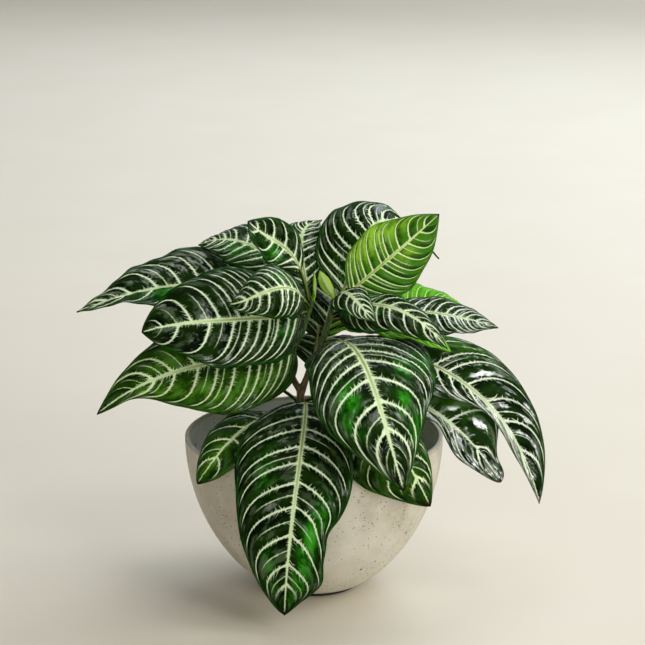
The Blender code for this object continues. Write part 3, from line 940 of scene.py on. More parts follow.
@dataclass
class Bowl:
    """The round-bottomed cement bowl and the dark pad under it."""

    rim_radius: float = 115.0
    height: float = 140.0
    flat_radius: float = 40.0
    pad_height: float = 3.0
    wall_at_rim: float = 4.0
    wall_at_base: float = 9.0
    rim_round: float = 1.2
    bulge_power: float = 2.0
    shoulder_power: float = 1.38
    thick_below: float = 0.77
    sides: int = 160
    rows: int = 40
    crowding: float = 1.7
    round_steps: int = 4
    least_inward: float = 1.0
    pad_inset: float = 0.5
    pad_round: float = 0.5
    pad_sides: int = 96

    def radius(self, z: float) -> float:
        """The outer radius at a height."""
        depth = (self.height - z) / (self.height - self.pad_height)
        swell = max(0.0, 1.0 - depth**self.bulge_power) ** (1.0 / self.shoulder_power)
        return self.flat_radius + (self.rim_radius - self.flat_radius) * swell

    def wall(self, z: float) -> float:
        """The wall's thickness at a height."""
        share = (z - self.pad_height) / (self.height - self.pad_height)
        thinned = min(1.0, share / self.thick_below)
        return self.wall_at_base + (self.wall_at_rim - self.wall_at_base) * thinned

    def heights(self, low: float, high: float) -> list[float]:
        """The rows' heights, which crowd towards the low end, where the bowl curves most."""
        return [low + (high - low) * (step / self.rows) ** self.crowding for step in range(self.rows + 1)]

    def lip(self) -> list[Pair]:
        """The rounded rim, from its outer edge over to its inner edge."""
        points = []
        outer = self.rim_radius - self.rim_round
        inner = self.rim_radius - self.wall_at_rim + self.rim_round
        for centre, start in ((outer, 0.0), (inner, math.pi / 2)):
            for step in range(self.round_steps + 1):
                angle = start + math.pi / 2 * step / self.round_steps
                high = self.height - self.rim_round + self.rim_round * math.sin(angle)
                points.append((centre + self.rim_round * math.cos(angle), high))
        return points

    def build(self, outer: Material, inner: Material) -> Piece:
        """The bowl as one closed turned shape, paler inside.

        Args:
            outer: the cement of its outside and rim.
            inner: the cement of its inside.

        Returns:
            The piece.
        """
        top = self.height - self.rim_round
        floor = self.pad_height + self.wall_at_base
        outside = [(self.radius(z), z) for z in self.heights(self.pad_height, top)]
        inside = [(self.radius(z) - self.wall(z), z) for z in self.heights(floor + 1.0, top)]
        profile = [(0.0, self.pad_height)] + outside[:-1] + self.lip() + inside[-2::-1] + [(0.0, floor)]
        shape = turned(profile, self.sides)
        for face in shape.faces:
            centre = face.calc_center_median()
            outward = face.normal.x * centre.x + face.normal.y * centre.y
            # The inside gets the paler cement: painted light, standing in for light on the inner wall.
            if outward < -self.least_inward and centre.z < top:
                face.material_index = 1
        return finish_mesh("cement_bowl", shape, [outer, inner])

    def build_pad(self, finish: Material) -> Piece:
        """The dark disc that the bowl stands on.

        Args:
            finish: its rubber.

        Returns:
            The piece.
        """
        top = self.pad_height - GAP
        flat = self.flat_radius - self.pad_inset - self.pad_round
        profile = [(0.0, 0.0), (flat, 0.0)]
        for step in range(self.round_steps + 1):
            angle = math.pi * (step / self.round_steps - 0.5)
            high = top / 2 + (top / 2) * math.sin(angle)
            profile.append((flat + self.pad_round * math.cos(angle), high))
        profile += [(flat, top), (0.0, top)]
        return finish_mesh("foot_disc", turned(profile, self.pad_sides), [finish])

    def dress(self) -> None:
        """Builds both pieces and sets them on their body."""
        outer = Cement("cement_cast", "B1A994", "D0CABA").material()
        # The inside's cement is painted paler, as light falling on the inner wall.
        inner = Cement("cement_inside_painted_lighter", "E2E1DA", "F0F0EB").material()
        settle(self.build(outer, inner), "bowl")
        settle(self.build_pad(RUBBER.material()), "foot_pad")


@dataclass
class Soil:
    """The potting mix: its solid's own shape made rougher on top, with loose crumbs on it.

    crumb_width and crumb_depth are shares of a crumb's length: the least and what chance adds at most.
    """

    edge_height: float = 106.0
    top_from: float = 105.5
    rough_from: float = 106.05
    rough_rise: float = 1.5
    roughness: float = 1.6
    lump_scale: float = 0.16
    fractal: tuple[float, float, int] = (0.9, 2.1, 4)
    cuts: int = 5
    crumbs: int = 520
    crumb_radius: Pair = (0.7, 2.6)
    rare_large: float = 2.5
    crumb_width: Pair = (0.6, 0.5)
    crumb_depth: Pair = (0.45, 0.4)
    lifted: float = 0.2
    ragged: float = 0.35
    seed: int = 11
    reach: float = 95.0
    drop_height: float = 160.0
    stem_at: Pair = (-9.0, 4.4)
    stem_clear: float = 7.5
    smooth_radius: float = 5.5

    def from_stem(self, x: float, y: float) -> float:
        """How far a place on the surface is from the stem's middle."""
        return (Vector((x, y, 0.0)) - Vector((*self.stem_at, 0.0))).length

    def surface(self) -> Shape:
        """The soil solid, merged, cut finer on top and roughened there.

        Returns:
            The shape, in millimetres.
        """
        shape = bmesh.new()
        shape.from_mesh(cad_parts["soil"].data)
        bmesh.ops.remove_doubles(shape, verts=shape.verts, dist=0.00001)
        to_millimetres(shape)
        top = [edge for edge in shape.edges if all(vert.co.z > self.top_from for vert in edge.verts)]
        bmesh.ops.subdivide_edges(shape, edges=top, cuts=self.cuts, use_grid_fill=True)
        for vert in shape.verts:
            if vert.co.z > self.rough_from and self.from_stem(vert.co.x, vert.co.y) > self.smooth_radius:
                rough = noise.fractal(vert.co * self.lump_scale, *self.fractal)
                share = min(1.0, (vert.co.z - self.edge_height) / self.rough_rise)
                vert.co.z += self.roughness * rough * share
        return shape

    def scatter(self, shape: Shape) -> Shape:
        """Loose crumbs and bark chips lying on the surface.

        Args:
            shape: the soil's surface.

        Returns:
            The crumbs, in millimetres.
        """
        tree = bvhtree.BVHTree.FromBMesh(shape)
        draw = random.Random(self.seed)
        crumbs = bmesh.new()
        smallest, largest = self.crumb_radius
        for _ in range(self.crumbs):
            far, angle = self.reach * math.sqrt(draw.random()), TAU * draw.random()
            spot = Vector((far * math.cos(angle), far * math.sin(angle), self.drop_height))
            radius = smallest + (largest - smallest) * draw.random() ** self.rare_large
            hit = tree.ray_cast(spot, Vector((0, 0, -1)))[0]
            if hit is None or self.from_stem(spot.x, spot.y) < self.stem_clear:
                continue
            turn = Matrix.Rotation(TAU * draw.random(), 4, Vector((draw.random(), draw.random(), 0.5)))
            sizes = [least + more * draw.random() for least, more in (self.crumb_width, self.crumb_depth)]
            lying = Matrix.Translation(hit + Vector((0, 0, radius * self.lifted)))
            lying = lying @ turn @ Matrix.Diagonal((1.0, *sizes, 1.0))
            made = bmesh.ops.create_icosphere(crumbs, subdivisions=1, radius=radius, matrix=lying)
            for vert in made["verts"]:
                vert.co += Vector([draw.random() - 0.5 for _ in range(3)]) * radius * self.ragged
        return crumbs

    def dress(self) -> None:
        """Builds the soil and its crumbs and sets them on their body."""
        shape = self.surface()
        crumbs = self.scatter(shape)
        damp = Crumbly("soil_damp", "0E0B08", "2A211A").material()
        settle(finish_mesh("potting_mix", shape, [damp], NO_CREASE), "soil")
        loose = Crumbly("soil_crumbs", "1A130D", "4A3826").material()
        settle(finish_mesh("soil_crumbs", crumbs, [loose], crease=30.0))


@dataclass
class Arm:
    """One length of the stem: its way, its radius at both ends and its knuckles."""

    points: list[Point]
    start_radius: float
    end_radius: float
    knuckle: float = 0.6
    steps: int = 4

    def way(self) -> list[Vector]:
        """The arm's points as its solid has them."""
        return smooth_way(self.points, self.steps)

    def radius(self, index: int, count: int) -> float:
        """The solid's radius at one of its points, with a knuckle where its way was given."""
        swell = self.knuckle if index % self.steps == 0 and 0 < index < count - 1 else 0.0
        return self.start_radius + (self.end_radius - self.start_radius) * index / (count - 1) + swell


STEM_FOOT: Point = (-8.5, 4.6, 66.0)
FORK: Point = (-12.0, 2.0, 178.0)
ARMS: dict[str, Arm] = {
    "main": Arm([STEM_FOOT, (-9.0, 4.4, 112.0), (-10.6, 3.0, 148.0), FORK], 3.8, 3.6),
    "left": Arm(
        [FORK, (-20.0, 4.0, 194.0), (-20.0, 5.0, 211.0), (-10.0, 5.0, 234.0), (-1.0, 3.0, 262.0)], 3.0, 2.2
    ),
    "right": Arm(
        [FORK, (-4.0, 6.0, 196.0), (7.0, 9.0, 220.0), (14.0, 8.0, 244.0), (17.0, 6.0, 262.0)], 3.0, 2.2
    ),
}


@dataclass
class Stem:
    """The forked stem, melted into one smooth skin."""

    sides: int = 24
    finer: int = 3
    voxel: float = 0.55
    smoothing: int = 4

    def tube(self, shape: Shape, arm: Arm) -> None:
        """Adds one arm to a shape as a closed tube of bridged rings.

        Args:
            shape: the shape that it goes into.
            arm: the arm.
        """
        rough = arm.way()
        radii = [arm.radius(index, len(rough)) for index in range(len(rough))]
        way = smooth_way([tuple(point) for point in rough], self.finer)
        rings = []
        for index, point in enumerate(way):
            ahead, behind = way[min(index + 1, len(way) - 1)], way[max(index - 1, 0)]
            turn = (ahead - behind).to_track_quat("Z", "Y").to_matrix().to_4x4()
            share = index / self.finer
            low = min(int(share), len(radii) - 2)
            radius = radii[low] + (radii[low + 1] - radii[low]) * (share - low)
            standing = Matrix.Translation(point) @ turn
            ring = bmesh.ops.create_circle(
                shape, cap_ends=False, segments=self.sides, radius=radius, matrix=standing
            )
            edges = {edge for vert in ring["verts"] for edge in vert.link_edges}
            rings.append(sorted(edges, key=lambda edge: edge.index))
        for first, second in zip(rings, rings[1:]):
            bmesh.ops.bridge_loops(shape, edges=first + second)
        for ring in (rings[0], rings[-1]):
            bmesh.ops.edgeloop_fill(shape, edges=ring)

    def build(self, finish: Material) -> Piece:
        """The whole stem as one piece.

        Args:
            finish: its bark.

        Returns:
            The piece.
        """
        shape = bmesh.new()
        for arm in ARMS.values():
            self.tube(shape, arm)
        bmesh.ops.recalc_face_normals(shape, faces=shape.faces)
        rough = finish_mesh("stem_rough", shape, [finish])
        melt = rough.modifiers.new("melt", "REMESH")
        melt.mode = "VOXEL"
        melt.voxel_size = self.voxel * MM
        graph = bpy.context.evaluated_depsgraph_get()
        melted = bmesh.new()
        melted.from_mesh(rough.evaluated_get(graph).data)
        bpy.data.objects.remove(rough, do_unlink=True)
        for _ in range(self.smoothing):
            bmesh.ops.smooth_vert(
                melted, verts=melted.verts, factor=0.5, use_axis_x=True, use_axis_y=True, use_axis_z=True
            )
        to_millimetres(melted)
        return finish_mesh("stem_and_arms", melted, [finish], NO_CREASE)

    def dress(self) -> None:
        """Builds the stem and sets it on its body."""
        settle(self.build(Bark().material()), "stem")


# Leaves


@dataclass(frozen=True)
class LeafPlan:
    """One leaf: the sizes that its solid has, and what only shows on its surface.

    arm and height say where it springs from the stem; rise, arch and tip are its midrib's places a third,
    two thirds and all of the way along. roll turns the blade about its midrib, in degrees at both ends,
    fold lifts its halves and curl bends their margins down. wave and waves ripple the margin. lean makes
    one side wider, and stalk is the stalk's share of the length. The two powers shape the outline, and each
    of nicks changes it by (share along, side, spread, share of the width).

    veins are the shares of the blade at which side veins leave the midrib, or count of them are spaced
    evenly. stagger starts those of one side later, sweep bends them to the tip and bold widens them. lights
    are patches of painted light, pale green as light shining through the leaf, and glints are waxy ones,
    where the coat lies and a grey-green sheen is painted; each is (share along, signed reach, spread,
    strength).
    """

    name: str
    arm: str
    height: float
    rise: Point
    arch: Point
    tip: Point
    width: float
    roll: Pair = (0.0, 0.0)
    fold: float = 12.0
    curl: float = 30.0
    wave: float = 1.5
    waves: float = 3.0
    phase: float = 0.0
    lean: Pair = (0.0, 0.0)
    stalk: float = 0.14
    base_power: float = 0.70
    tip_power: float = 0.95
    kind: LeafKind = LeafKind.DARK
    bold: float = 1.0
    stagger: float = 0.0
    count: int = 9
    sweep: float = 0.09
    veins: tuple[float, ...] = ()
    lights: tuple[Patch, ...] = ()
    glints: tuple[Patch, ...] = ()
    nicks: tuple[Nick, ...] = ()


LEAVES: list[LeafPlan] = [
    LeafPlan("leaf_front_large", "main", 166, (-8, -74, 172), (-17, -131, 114), (-25, -131, 19), 103,
             fold=8, curl=26, wave=2.5, lean=(0.05, 0.14), stalk=0.10, base_power=0.62, tip_power=0.78,
             nicks=((0.7, -1, 0.045, -0.1), (0.9, -1, 0.07, 0.42)), bold=0.85, stagger=0.1,
             veins=(0.06, 0.21, 0.29, 0.38, 0.45, 0.53, 0.62, 0.72, 0.82, 0.89), sweep=0.08,
             lights=((0.72, -0.55, 0.1, 0.9), (0.86, -0.35, 0.09, 0.7), (0.84, 0.45, 0.08, 0.35),
             (0.5, 0.5, 0.08, 0.25)), glints=((0.3, 0.5, 0.12, 0.3), (0.35, -0.7, 0.08, 0.4))),
    LeafPlan("leaf_front_left", "main", 152, (-42, -26, 162), (-70, -62, 155), (-100, -92, 124), 62,
             roll=(-8, -6), fold=16, curl=32, lean=(-0.07, -0.15), tip_power=0.75, kind=LeafKind.SHADE,
             veins=(0.1, 0.28, 0.46, 0.62, 0.8), lights=((0.8, 0.0, 0.16, 0.55),)),
    LeafPlan("leaf_front_right", "main", 146, (33, -48, 170), (66, -91, 163), (100, -104, 108), 80,
             roll=(18, 26), fold=6, curl=34, lean=(0.26, 0.26), stalk=0.1, base_power=1.15, tip_power=0.8,
             kind=LeafKind.SHADE, count=7, lights=((0.7, 0.3, 0.16, 0.5),)),
    LeafPlan("leaf_left_low", "left", 228, (-72, -24, 217), (-130, -34, 204), (-190, -36, 169), 94,
             roll=(-66, -40), fold=10, curl=20, wave=2, phase=2.6, lean=(-0.06, 0.0), stalk=0.03,
             base_power=0.42, tip_power=0.9, nicks=((0.84, -1, 0.15, -0.62),), kind=LeafKind.SHADE,
             veins=(0.0, 0.05, 0.1, 0.17, 0.22, 0.3, 0.39, 0.49, 0.61, 0.71),
             lights=((0.2, -0.6, 0.1, 0.45), (0.45, -0.6, 0.14, 0.5), (0.7, -0.5, 0.12, 0.6),
             (0.62, 0.3, 0.12, 0.4))),
    LeafPlan("leaf_right_low", "main", 170, (48, -18, 186), (108, -38, 170), (164, -50, 111), 78,
             roll=(34, 44), fold=18, curl=24, lean=(-0.15, -0.4), base_power=1.0, tip_power=0.62,
             nicks=((0.62, 1, 0.14, -0.42), (0.93, -1, 0.1, -0.9)), kind=LeafKind.GLOSSY,
             veins=(0.06, 0.2, 0.36, 0.52, 0.68, 0.84),
             lights=((0.4, -0.4, 0.2, 0.7), (0.65, -0.5, 0.14, 0.6)), glints=((0.5, 0.0, 0.7, 1.0),)),
    LeafPlan("leaf_back_right", "main", 155, (36, 44, 184), (82, 82, 176), (116, 110, 140), 68, fold=14,
             curl=34),
    LeafPlan("leaf_back_left", "main", 168, (-52, 46, 180), (-96, 86, 176), (-132, 116, 140), 70, fold=14,
             curl=34),
    LeafPlan("leaf_back_low", "main", 174, (10, 62, 206), (28, 116, 192), (38, 152, 142), 80, fold=10,
             curl=34),
    LeafPlan("leaf_left_large", "left", 251, (-54, -30, 254.5), (-104, -50, 256.5), (-148, -58, 250), 96,
             roll=(-55, -50), fold=8, curl=26, lean=(0.1, 0.05), stalk=0.03, base_power=0.5, tip_power=0.82,
             bold=0.95, stagger=0.5, veins=(0.04, 0.09, 0.16, 0.21, 0.27, 0.33, 0.42, 0.56, 0.75),
             lights=((0.2, 0.5, 0.1, 0.35), (0.16, -0.4, 0.08, 0.3)),
             glints=((0.95, 0.0, 0.16, 1.0), (0.7, 0.0, 0.2, 0.4))),
    LeafPlan("leaf_far_left", "left", 248, (-70, 26, 268), (-140, 18, 268), (-209, 0, 252), 92,
             roll=(-18, -20), fold=28, curl=30, wave=2.5, stalk=0.28, base_power=0.5, tip_power=1.25,
             stagger=0.3, veins=(0.08, 0.2, 0.3, 0.42, 0.56, 0.72, 0.85), lights=((0.5, -0.4, 0.16, 0.45),),
             glints=((0.35, 0.6, 0.3, 0.6), (0.8, 0.0, 0.16, 0.4))),
    LeafPlan("leaf_left_small", "left", 256, (-24, -37, 284), (-48, -50, 281), (-73, -51, 273), 56,
             roll=(-52, -44), fold=8, curl=44, lean=(0.0, -0.04), stalk=0.05, base_power=0.45,
             veins=(0.11, 0.2, 0.29, 0.36, 0.53, 0.63, 0.78), lights=((0.3, 0.4, 0.12, 0.3),),
             glints=((0.12, 0.5, 0.22, 0.9),)),
    LeafPlan("leaf_upper_left", "left", 261, (-18, 3, 301), (-36, -5, 319), (-57, -14, 338), 43,
             roll=(-66, -62), fold=16, curl=20, lean=(-0.08, 0.02), stalk=0.2, tip_power=0.74, bold=1.2,
             veins=(0.02, 0.16, 0.36, 0.57, 0.84), lights=((0.5, -0.5, 0.16, 0.5),)),
    LeafPlan("leaf_left_rear", "left", 252, (-37, 38, 290), (-72, 56, 303), (-104, 67, 296), 60,
             roll=(-20, -20), fold=14, curl=40, nicks=((0.5, 1, 0.2, 0.25),),
             lights=((0.5, -0.4, 0.2, 0.4),)),
    LeafPlan("leaf_back_upper", "left", 260, (-10, 28, 290), (-10, 54, 310), (7, 80, 316), 48, fold=14,
             curl=30, lean=(0.0, 0.04), base_power=0.6, stalk=0.1),
    LeafPlan("leaf_back_left_upper", "left", 212, (-60, 48, 258), (-102, 84, 268), (-140, 108, 244), 64,
             fold=14, curl=34),
    LeafPlan("young_left", "left", 262, (1, 2, 272), (1, 1, 280), (0, -1, 288), 9, roll=(80, 80), fold=40,
             curl=10, wave=0, stalk=0.1, kind=LeafKind.YOUNG, count=4),
    LeafPlan("leaf_front_heart", "right", 223, (36, -60, 234), (55, -115, 204), (76, -142, 135), 117,
             roll=(8, 4), fold=6, curl=34, wave=2.5, lean=(-0.22, -0.05), stalk=0.14, base_power=0.34,
             tip_power=0.8, nicks=((0.1, 1, 0.12, 0.04), (0.66, 1, 0.16, 0.36)), bold=1.08,
             veins=(0.05, 0.16, 0.24, 0.33, 0.46, 0.6, 0.74), sweep=0.14, lights=((0.56, 0.45, 0.07, 0.9),
             (0.42, -0.5, 0.05, 0.8), (0.62, -0.42, 0.06, 0.8), (0.7, 0.6, 0.06, 0.4),
             (0.75, -0.75, 0.08, 0.5), (0.35, -0.85, 0.08, 0.4)),
             glints=((0.12, 0.0, 0.2, 0.5), (0.7, -0.3, 0.08, 0.4))),
    LeafPlan("leaf_far_right", "right", 212, (75, -22, 220), (148, -40, 184), (198, -52, 92), 68,
             roll=(40, 52), fold=14, curl=24, lean=(0.16, -0.36), base_power=0.8, stalk=0.2,
             nicks=((0.66, 1, 0.28, -0.56),), kind=LeafKind.GLOSSY,
             veins=(0.08, 0.2, 0.34, 0.4, 0.5, 0.6, 0.7, 0.82),
             lights=((0.35, -0.9, 0.16, 0.5), (0.2, 0.5, 0.1, 0.35)),
             glints=((0.98, 0.2, 0.24, 1.6), (0.72, 0.5, 0.16, 0.8), (0.45, -0.3, 0.12, 0.4))),
    LeafPlan("leaf_right_under", "right", 232, (48, -8, 242), (88, -24, 242), (120, -38, 225), 38,
             roll=(4, 18), fold=6, curl=16, lean=(-0.16, 0.1), kind=LeafKind.LIME),
    LeafPlan("leaf_right_upper", "right", 243, (64, 24, 246), (112, 30, 242), (164, 20, 232), 44,
             roll=(40, 36), fold=14, curl=26, lean=(0.18, 0.1), stalk=0.4, base_power=0.6,
             kind=LeafKind.GLOSSY, veins=(0.04, 0.16, 0.28, 0.4, 0.51, 0.58, 0.65, 0.7, 0.8, 0.88, 0.94)),
    LeafPlan("leaf_right_back", "right", 236, (58, 50, 242), (98, 74, 239), (142, 84, 231), 56,
             roll=(34, 34), fold=12, curl=30, stalk=0.4, base_power=0.6, kind=LeafKind.LIME),
    LeafPlan("leaf_right_mid", "right", 250, (46, -26, 266), (80, -48, 264), (115, -60, 236), 44,
             roll=(34, 30), fold=10, curl=34, lean=(0.26, 0.22), stalk=0.08, base_power=0.6,
             nicks=((0.3, 1, 0.2, 0.18),), bold=1.1, veins=(0.1, 0.18, 0.27, 0.38, 0.49, 0.61, 0.78, 0.88),
             lights=((0.14, 0.35, 0.12, 0.9), (0.4, 0.4, 0.08, 0.45), (0.3, -0.4, 0.1, 0.3))),
    LeafPlan("leaf_centre_small", "right", 256, (26, -22, 276), (38, -41, 272), (53, -56, 258.5), 37,
             roll=(24, 20), fold=8, curl=50, stalk=0.06, base_power=0.55,
             veins=(0.14, 0.3, 0.47, 0.59, 0.7, 0.8), sweep=0.13),
    LeafPlan("leaf_top_bright", "right", 260, (48, 3, 284), (78, 6, 310), (110, 12, 338), 64, roll=(76, 72),
             fold=10, curl=22, kind=LeafKind.FRESH, bold=0.85, stagger=0.4,
             veins=(0.0, 0.06, 0.13, 0.21, 0.29, 0.39, 0.47, 0.59, 0.7, 0.85),
             lights=((0.3, -0.8, 0.2, 1.0), (0.6, -0.8, 0.2, 1.0), (0.6, 0.25, 0.1, 0.8))),
    LeafPlan("leaf_top_tall", "right", 261, (37, 22, 296), (61, 54, 321), (113, 76, 281), 80, roll=(50, 20),
             fold=12, curl=26, wave=3, stalk=0.08, base_power=0.6, lean=(0.04, 0.0),
             nicks=((0.34, -1, 0.12, 0.06), (0.8, -1, 0.12, -0.12)), count=11,
             lights=((0.15, 0.0, 0.15, 0.4),)),
    LeafPlan("leaf_back_right_upper", "right", 214, (22, 62, 258), (40, 110, 262), (60, 146, 222), 70,
             fold=12, curl=34, base_power=0.6, stalk=0.1),
    LeafPlan("leaf_back_mid", "right", 204, (4, 66, 246), (-12, 118, 244), (-40, 160, 196), 84, fold=12,
             curl=34, base_power=0.6, stalk=0.1),
    LeafPlan("young_right", "right", 262, (13, 5, 272), (9, 3, 280), (5, 0, 290), 12, roll=(80, 80),
             fold=40, curl=10, wave=0, stalk=0.1, kind=LeafKind.YOUNG, count=4),
]


def whole_numbers(parts: bpy.types.bpy_prop_collection, name: str) -> Array:
    """One whole number of each part of a mesh."""
    found = np.empty(len(parts), np.int32)
    parts.foreach_get(name, found)
    return found


@dataclass
class Leaf:
    """One leaf, stalk and blade, as a fine closed skin with charts for its veins.

    Lengths are in millimetres, and a range is a least and a most. Stalk, rib, blade and waves have the
    sizes of the solid. The frill, the quilting and the puckers are added here.
    """

    plan: LeafPlan
    row_length: float = 2.0
    rows_range: tuple[int, int] = (24, 110)
    row_crowding: float = 0.72
    column_width: float = 1.9
    half_columns_range: tuple[int, int] = (6, 34)
    length_steps: int = 60
    thickness: float = 0.9
    edge_thickness: float = 0.35
    stalk_rows: int = 6
    stalk_half_width: float = 1.7
    stalk_thickness: float = 3.2
    stalk_narrowing: float = 0.75
    stalk_thinning: float = 0.5
    stalk_roundness: float = 0.9
    opening_width: float = 5.1
    rib_half_width: float = 2.4
    rib_depth: float = 1.1
    rib_taper: float = 0.6
    rib_most: float = 0.3
    ruffle: float = 0.03
    ruffles: float = 2.6
    wave_shift: float = 2.1
    frill: float = 0.3
    frill_beats: float = 2.7
    frill_shift: float = 1.3
    quilt: float = 1.5
    quilt_power: float = 0.8
    quilt_level: float = 0.55
    quilt_from_rib: float = 6.0
    quilt_fade: float = 5.0
    quilt_width: float = 70.0
    pucker: float = 0.5
    bold_width: float = 95.0
    fineness_range: Pair = (0.45, 1.1)
    first_vein: float = 0.6
    vein_shift: float = 0.006
    sweep_reach: float = 1.04
    steps_beyond: float = 9.0
    widest_pitch: float = 60.0

    def __post_init__(self) -> None:
        """Works out the midrib and the size of the grid."""
        plan = self.plan
        rise, arch, tip = Vector(plan.rise), Vector(plan.arch), Vector(plan.tip)
        root = self.root(rise, arch, tip)
        handles = self.handles(root, rise, arch, tip)
        self.ctrl = np.array([root, *handles, tip])
        line = self.rib(np.linspace(0, 1, self.length_steps))
        length = float(np.linalg.norm(np.diff(line, axis=0), axis=1).sum())
        blade = length * (1 - plan.stalk)
        self.rows = int(np.clip(blade / self.row_length, *self.rows_range))
        self.columns = 2 * int(np.clip(plan.width / 2 / self.column_width, *self.half_columns_range))

    @staticmethod
    def handles(root: Vector, rise: Vector, arch: Vector, tip: Vector) -> tuple[Vector, Vector]:
        """The handles of the cubic that passes root, rise, arch and tip a third of the way apart."""
        first = (-5 * root + 18 * rise - 9 * arch + 2 * tip) / 6
        second = (2 * root - 9 * rise + 18 * arch - 5 * tip) / 6
        return first, second

    def root(self, rise: Vector, arch: Vector, tip: Vector) -> Vector:
        """Where the stalk starts, just clear of its arm.

        Args:
            rise: the midrib's place a third of the way along.
            arch: its place two thirds of the way along.
            tip: its end.

        Returns:
            The stalk's first point.
        """
        arm = ARMS[self.plan.arm]
        points = arm.way()
        at_tip = self.plan.height >= points[-1].z
        lower = [index for index, point in enumerate(points[:-1]) if point.z <= self.plan.height]
        index = len(points) - 2 if at_tip else max(lower)
        below, above = points[index], points[index + 1]
        along = (above - below).normalized()
        share = 1.0 if at_tip else (self.plan.height - below.z) / (above.z - below.z)
        spot = below.lerp(above, share)
        aim = (rise - spot).normalized()
        outward = along if at_tip else (aim - along * aim.dot(along)).normalized()
        near, far = (arm.radius(i, len(points)) for i in (index, index + 1))
        radius = 0.0 if at_tip else near + (far - near) * share
        leaving = (self.handles(spot, rise, arch, tip)[0] - spot).normalized()
        lean = math.sqrt(max(0.0, 1.0 - leaving.dot(outward) ** 2))
        return spot + outward * (radius + GAP + self.stalk_half_width * lean)

    def rib(self, u: Array) -> Array:
        """The midrib's places at shares u of its way from root to tip."""
        u = np.asarray(u, float)[..., None]
        v = 1 - u
        first, second, third, last = self.ctrl
        return first * v**3 + second * 3 * u * v * v + third * 3 * u * u * v + last * u**3

    def axes(self, u: Array) -> tuple[Array, Array]:
        """The blade's side and upper directions at shares u, turned by the leaf's roll there."""
        w = np.asarray(u, float)[..., None]
        v = 1 - w
        first, second, third, last = self.ctrl
        along = (second - first) * v * v + (third - second) * 2 * w * v + (last - third) * w * w
        along /= np.linalg.norm(along, axis=-1, keepdims=True)
        heading = last - first
        side = np.array([heading[1], -heading[0], 0.0]) / math.hypot(heading[0], heading[1])
        side = side - along * (along @ side)[..., None]
        side /= np.linalg.norm(side, axis=-1, keepdims=True)
        turn = np.radians(self.plan.roll[0] + (self.plan.roll[1] - self.plan.roll[0]) * w)
        side = side * np.cos(turn) + np.cross(along, side) * np.sin(turn)
        return side, np.cross(side, along)

    def half_width(self, t: Array) -> Array:
        """The blade's half width at shares t of the blade's length."""
        base, end = self.plan.base_power, self.plan.tip_power
        peak = base / (base + end)
        inside = np.clip(t, 0.0, 1.0)
        return self.plan.width / 2 * inside**base * (1 - inside) ** end / (peak**base * (1 - peak) ** end)

    def edge(self, t: Array, sign: Array) -> Array:
        """The outline's own factor on each side: its lean, its ruffle and its nicks."""
        plan = self.plan
        favour = plan.lean[0] + (plan.lean[1] - plan.lean[0]) * t
        ragged = 1 + sign * favour + self.ruffle * np.sin(TAU * self.ruffles * t + plan.phase + sign)
        for where, side, spread, amount in plan.nicks:
            ragged = ragged + np.where(sign == side, amount * np.exp(-(((t - where) / spread) ** 2)), 0.0)
        return ragged

    def vein_starts(self) -> Array:
        """The shares of the blade at which side veins leave the midrib."""
        count, first = self.plan.count, self.first_vein
        return np.array(self.plan.veins or [(number + first) / (count + first) for number in range(count)])

    def phase(self, t: Array, reach: Array, sign: Array) -> tuple[Array, Array]:
        """Which side vein passes each place, and from where.

        Args:
            t: shares of the blade's length.
            reach: shares of the way from midrib to margin.
            sign: -1 or 1 for the side of the midrib.

        Returns:
            The vein's number, whole on a vein, and the share of the blade at which it would start.
        """
        start = t + self.plan.sweep * np.log(1 - np.minimum(reach, 0.999) / self.sweep_reach)
        marks = self.vein_starts()
        count, beyond = len(marks), self.steps_beyond
        before = marks[0] - beyond * (marks[1] - marks[0])
        after = marks[-1] + beyond * (marks[-1] - marks[-2])
        places = np.concatenate([[before], marks, [after]])
        numbers = np.concatenate([[1.0 - beyond], np.arange(count) + 1.0, [count + beyond]])
        number = np.interp(start - self.vein_shift * sign, places, numbers)
        return number + self.plan.stagger * (sign > 0), start

    def skin(self, u: Array, reach: Array, sign: Array, under: bool, smooth: bool = False) -> Array:
        """Points of the leaf's skin.

        Args:
            u: shares of the way from root to tip.
            reach: shares of the way from midrib to margin.
            sign: -1 or 1 for the side of the midrib.
            under: whether it is the under side.
            smooth: leaves out the quilting.

        Returns:
            The points, in millimetres.
        """
        plan = self.plan
        t = (u - plan.stalk) / (1 - plan.stalk)
        inside = np.clip(t, 0.0, 1.0)
        stalk_width = self.stalk_half_width * (1 - self.stalk_narrowing * u)
        blade_width = self.half_width(t)
        width = np.maximum(stalk_width, blade_width * self.edge(inside, sign))
        flat = np.clip((blade_width - stalk_width) / self.opening_width, 0.0, 1.0)
        rib_share = np.minimum(self.rib_most, self.rib_half_width * (1 - self.rib_taper * u) / width)
        fold = math.radians(plan.fold) * flat
        curl = math.radians(plan.curl) * flat + 1e-6
        bend = fold - curl * reach
        across = sign * width / curl * (np.sin(fold) - np.sin(bend))
        lift = width / curl * (np.cos(bend) - np.cos(fold))
        envelope = np.sqrt(np.sin(math.pi * inside))
        beat = TAU * plan.waves * t + plan.phase + np.where(sign > 0, self.wave_shift, 0.0)
        frill = self.frill * np.sin(self.frill_beats * beat + self.frill_shift) * reach**4
        lift = lift + flat * plan.wave * (reach * reach * np.sin(beat) + frill) * envelope

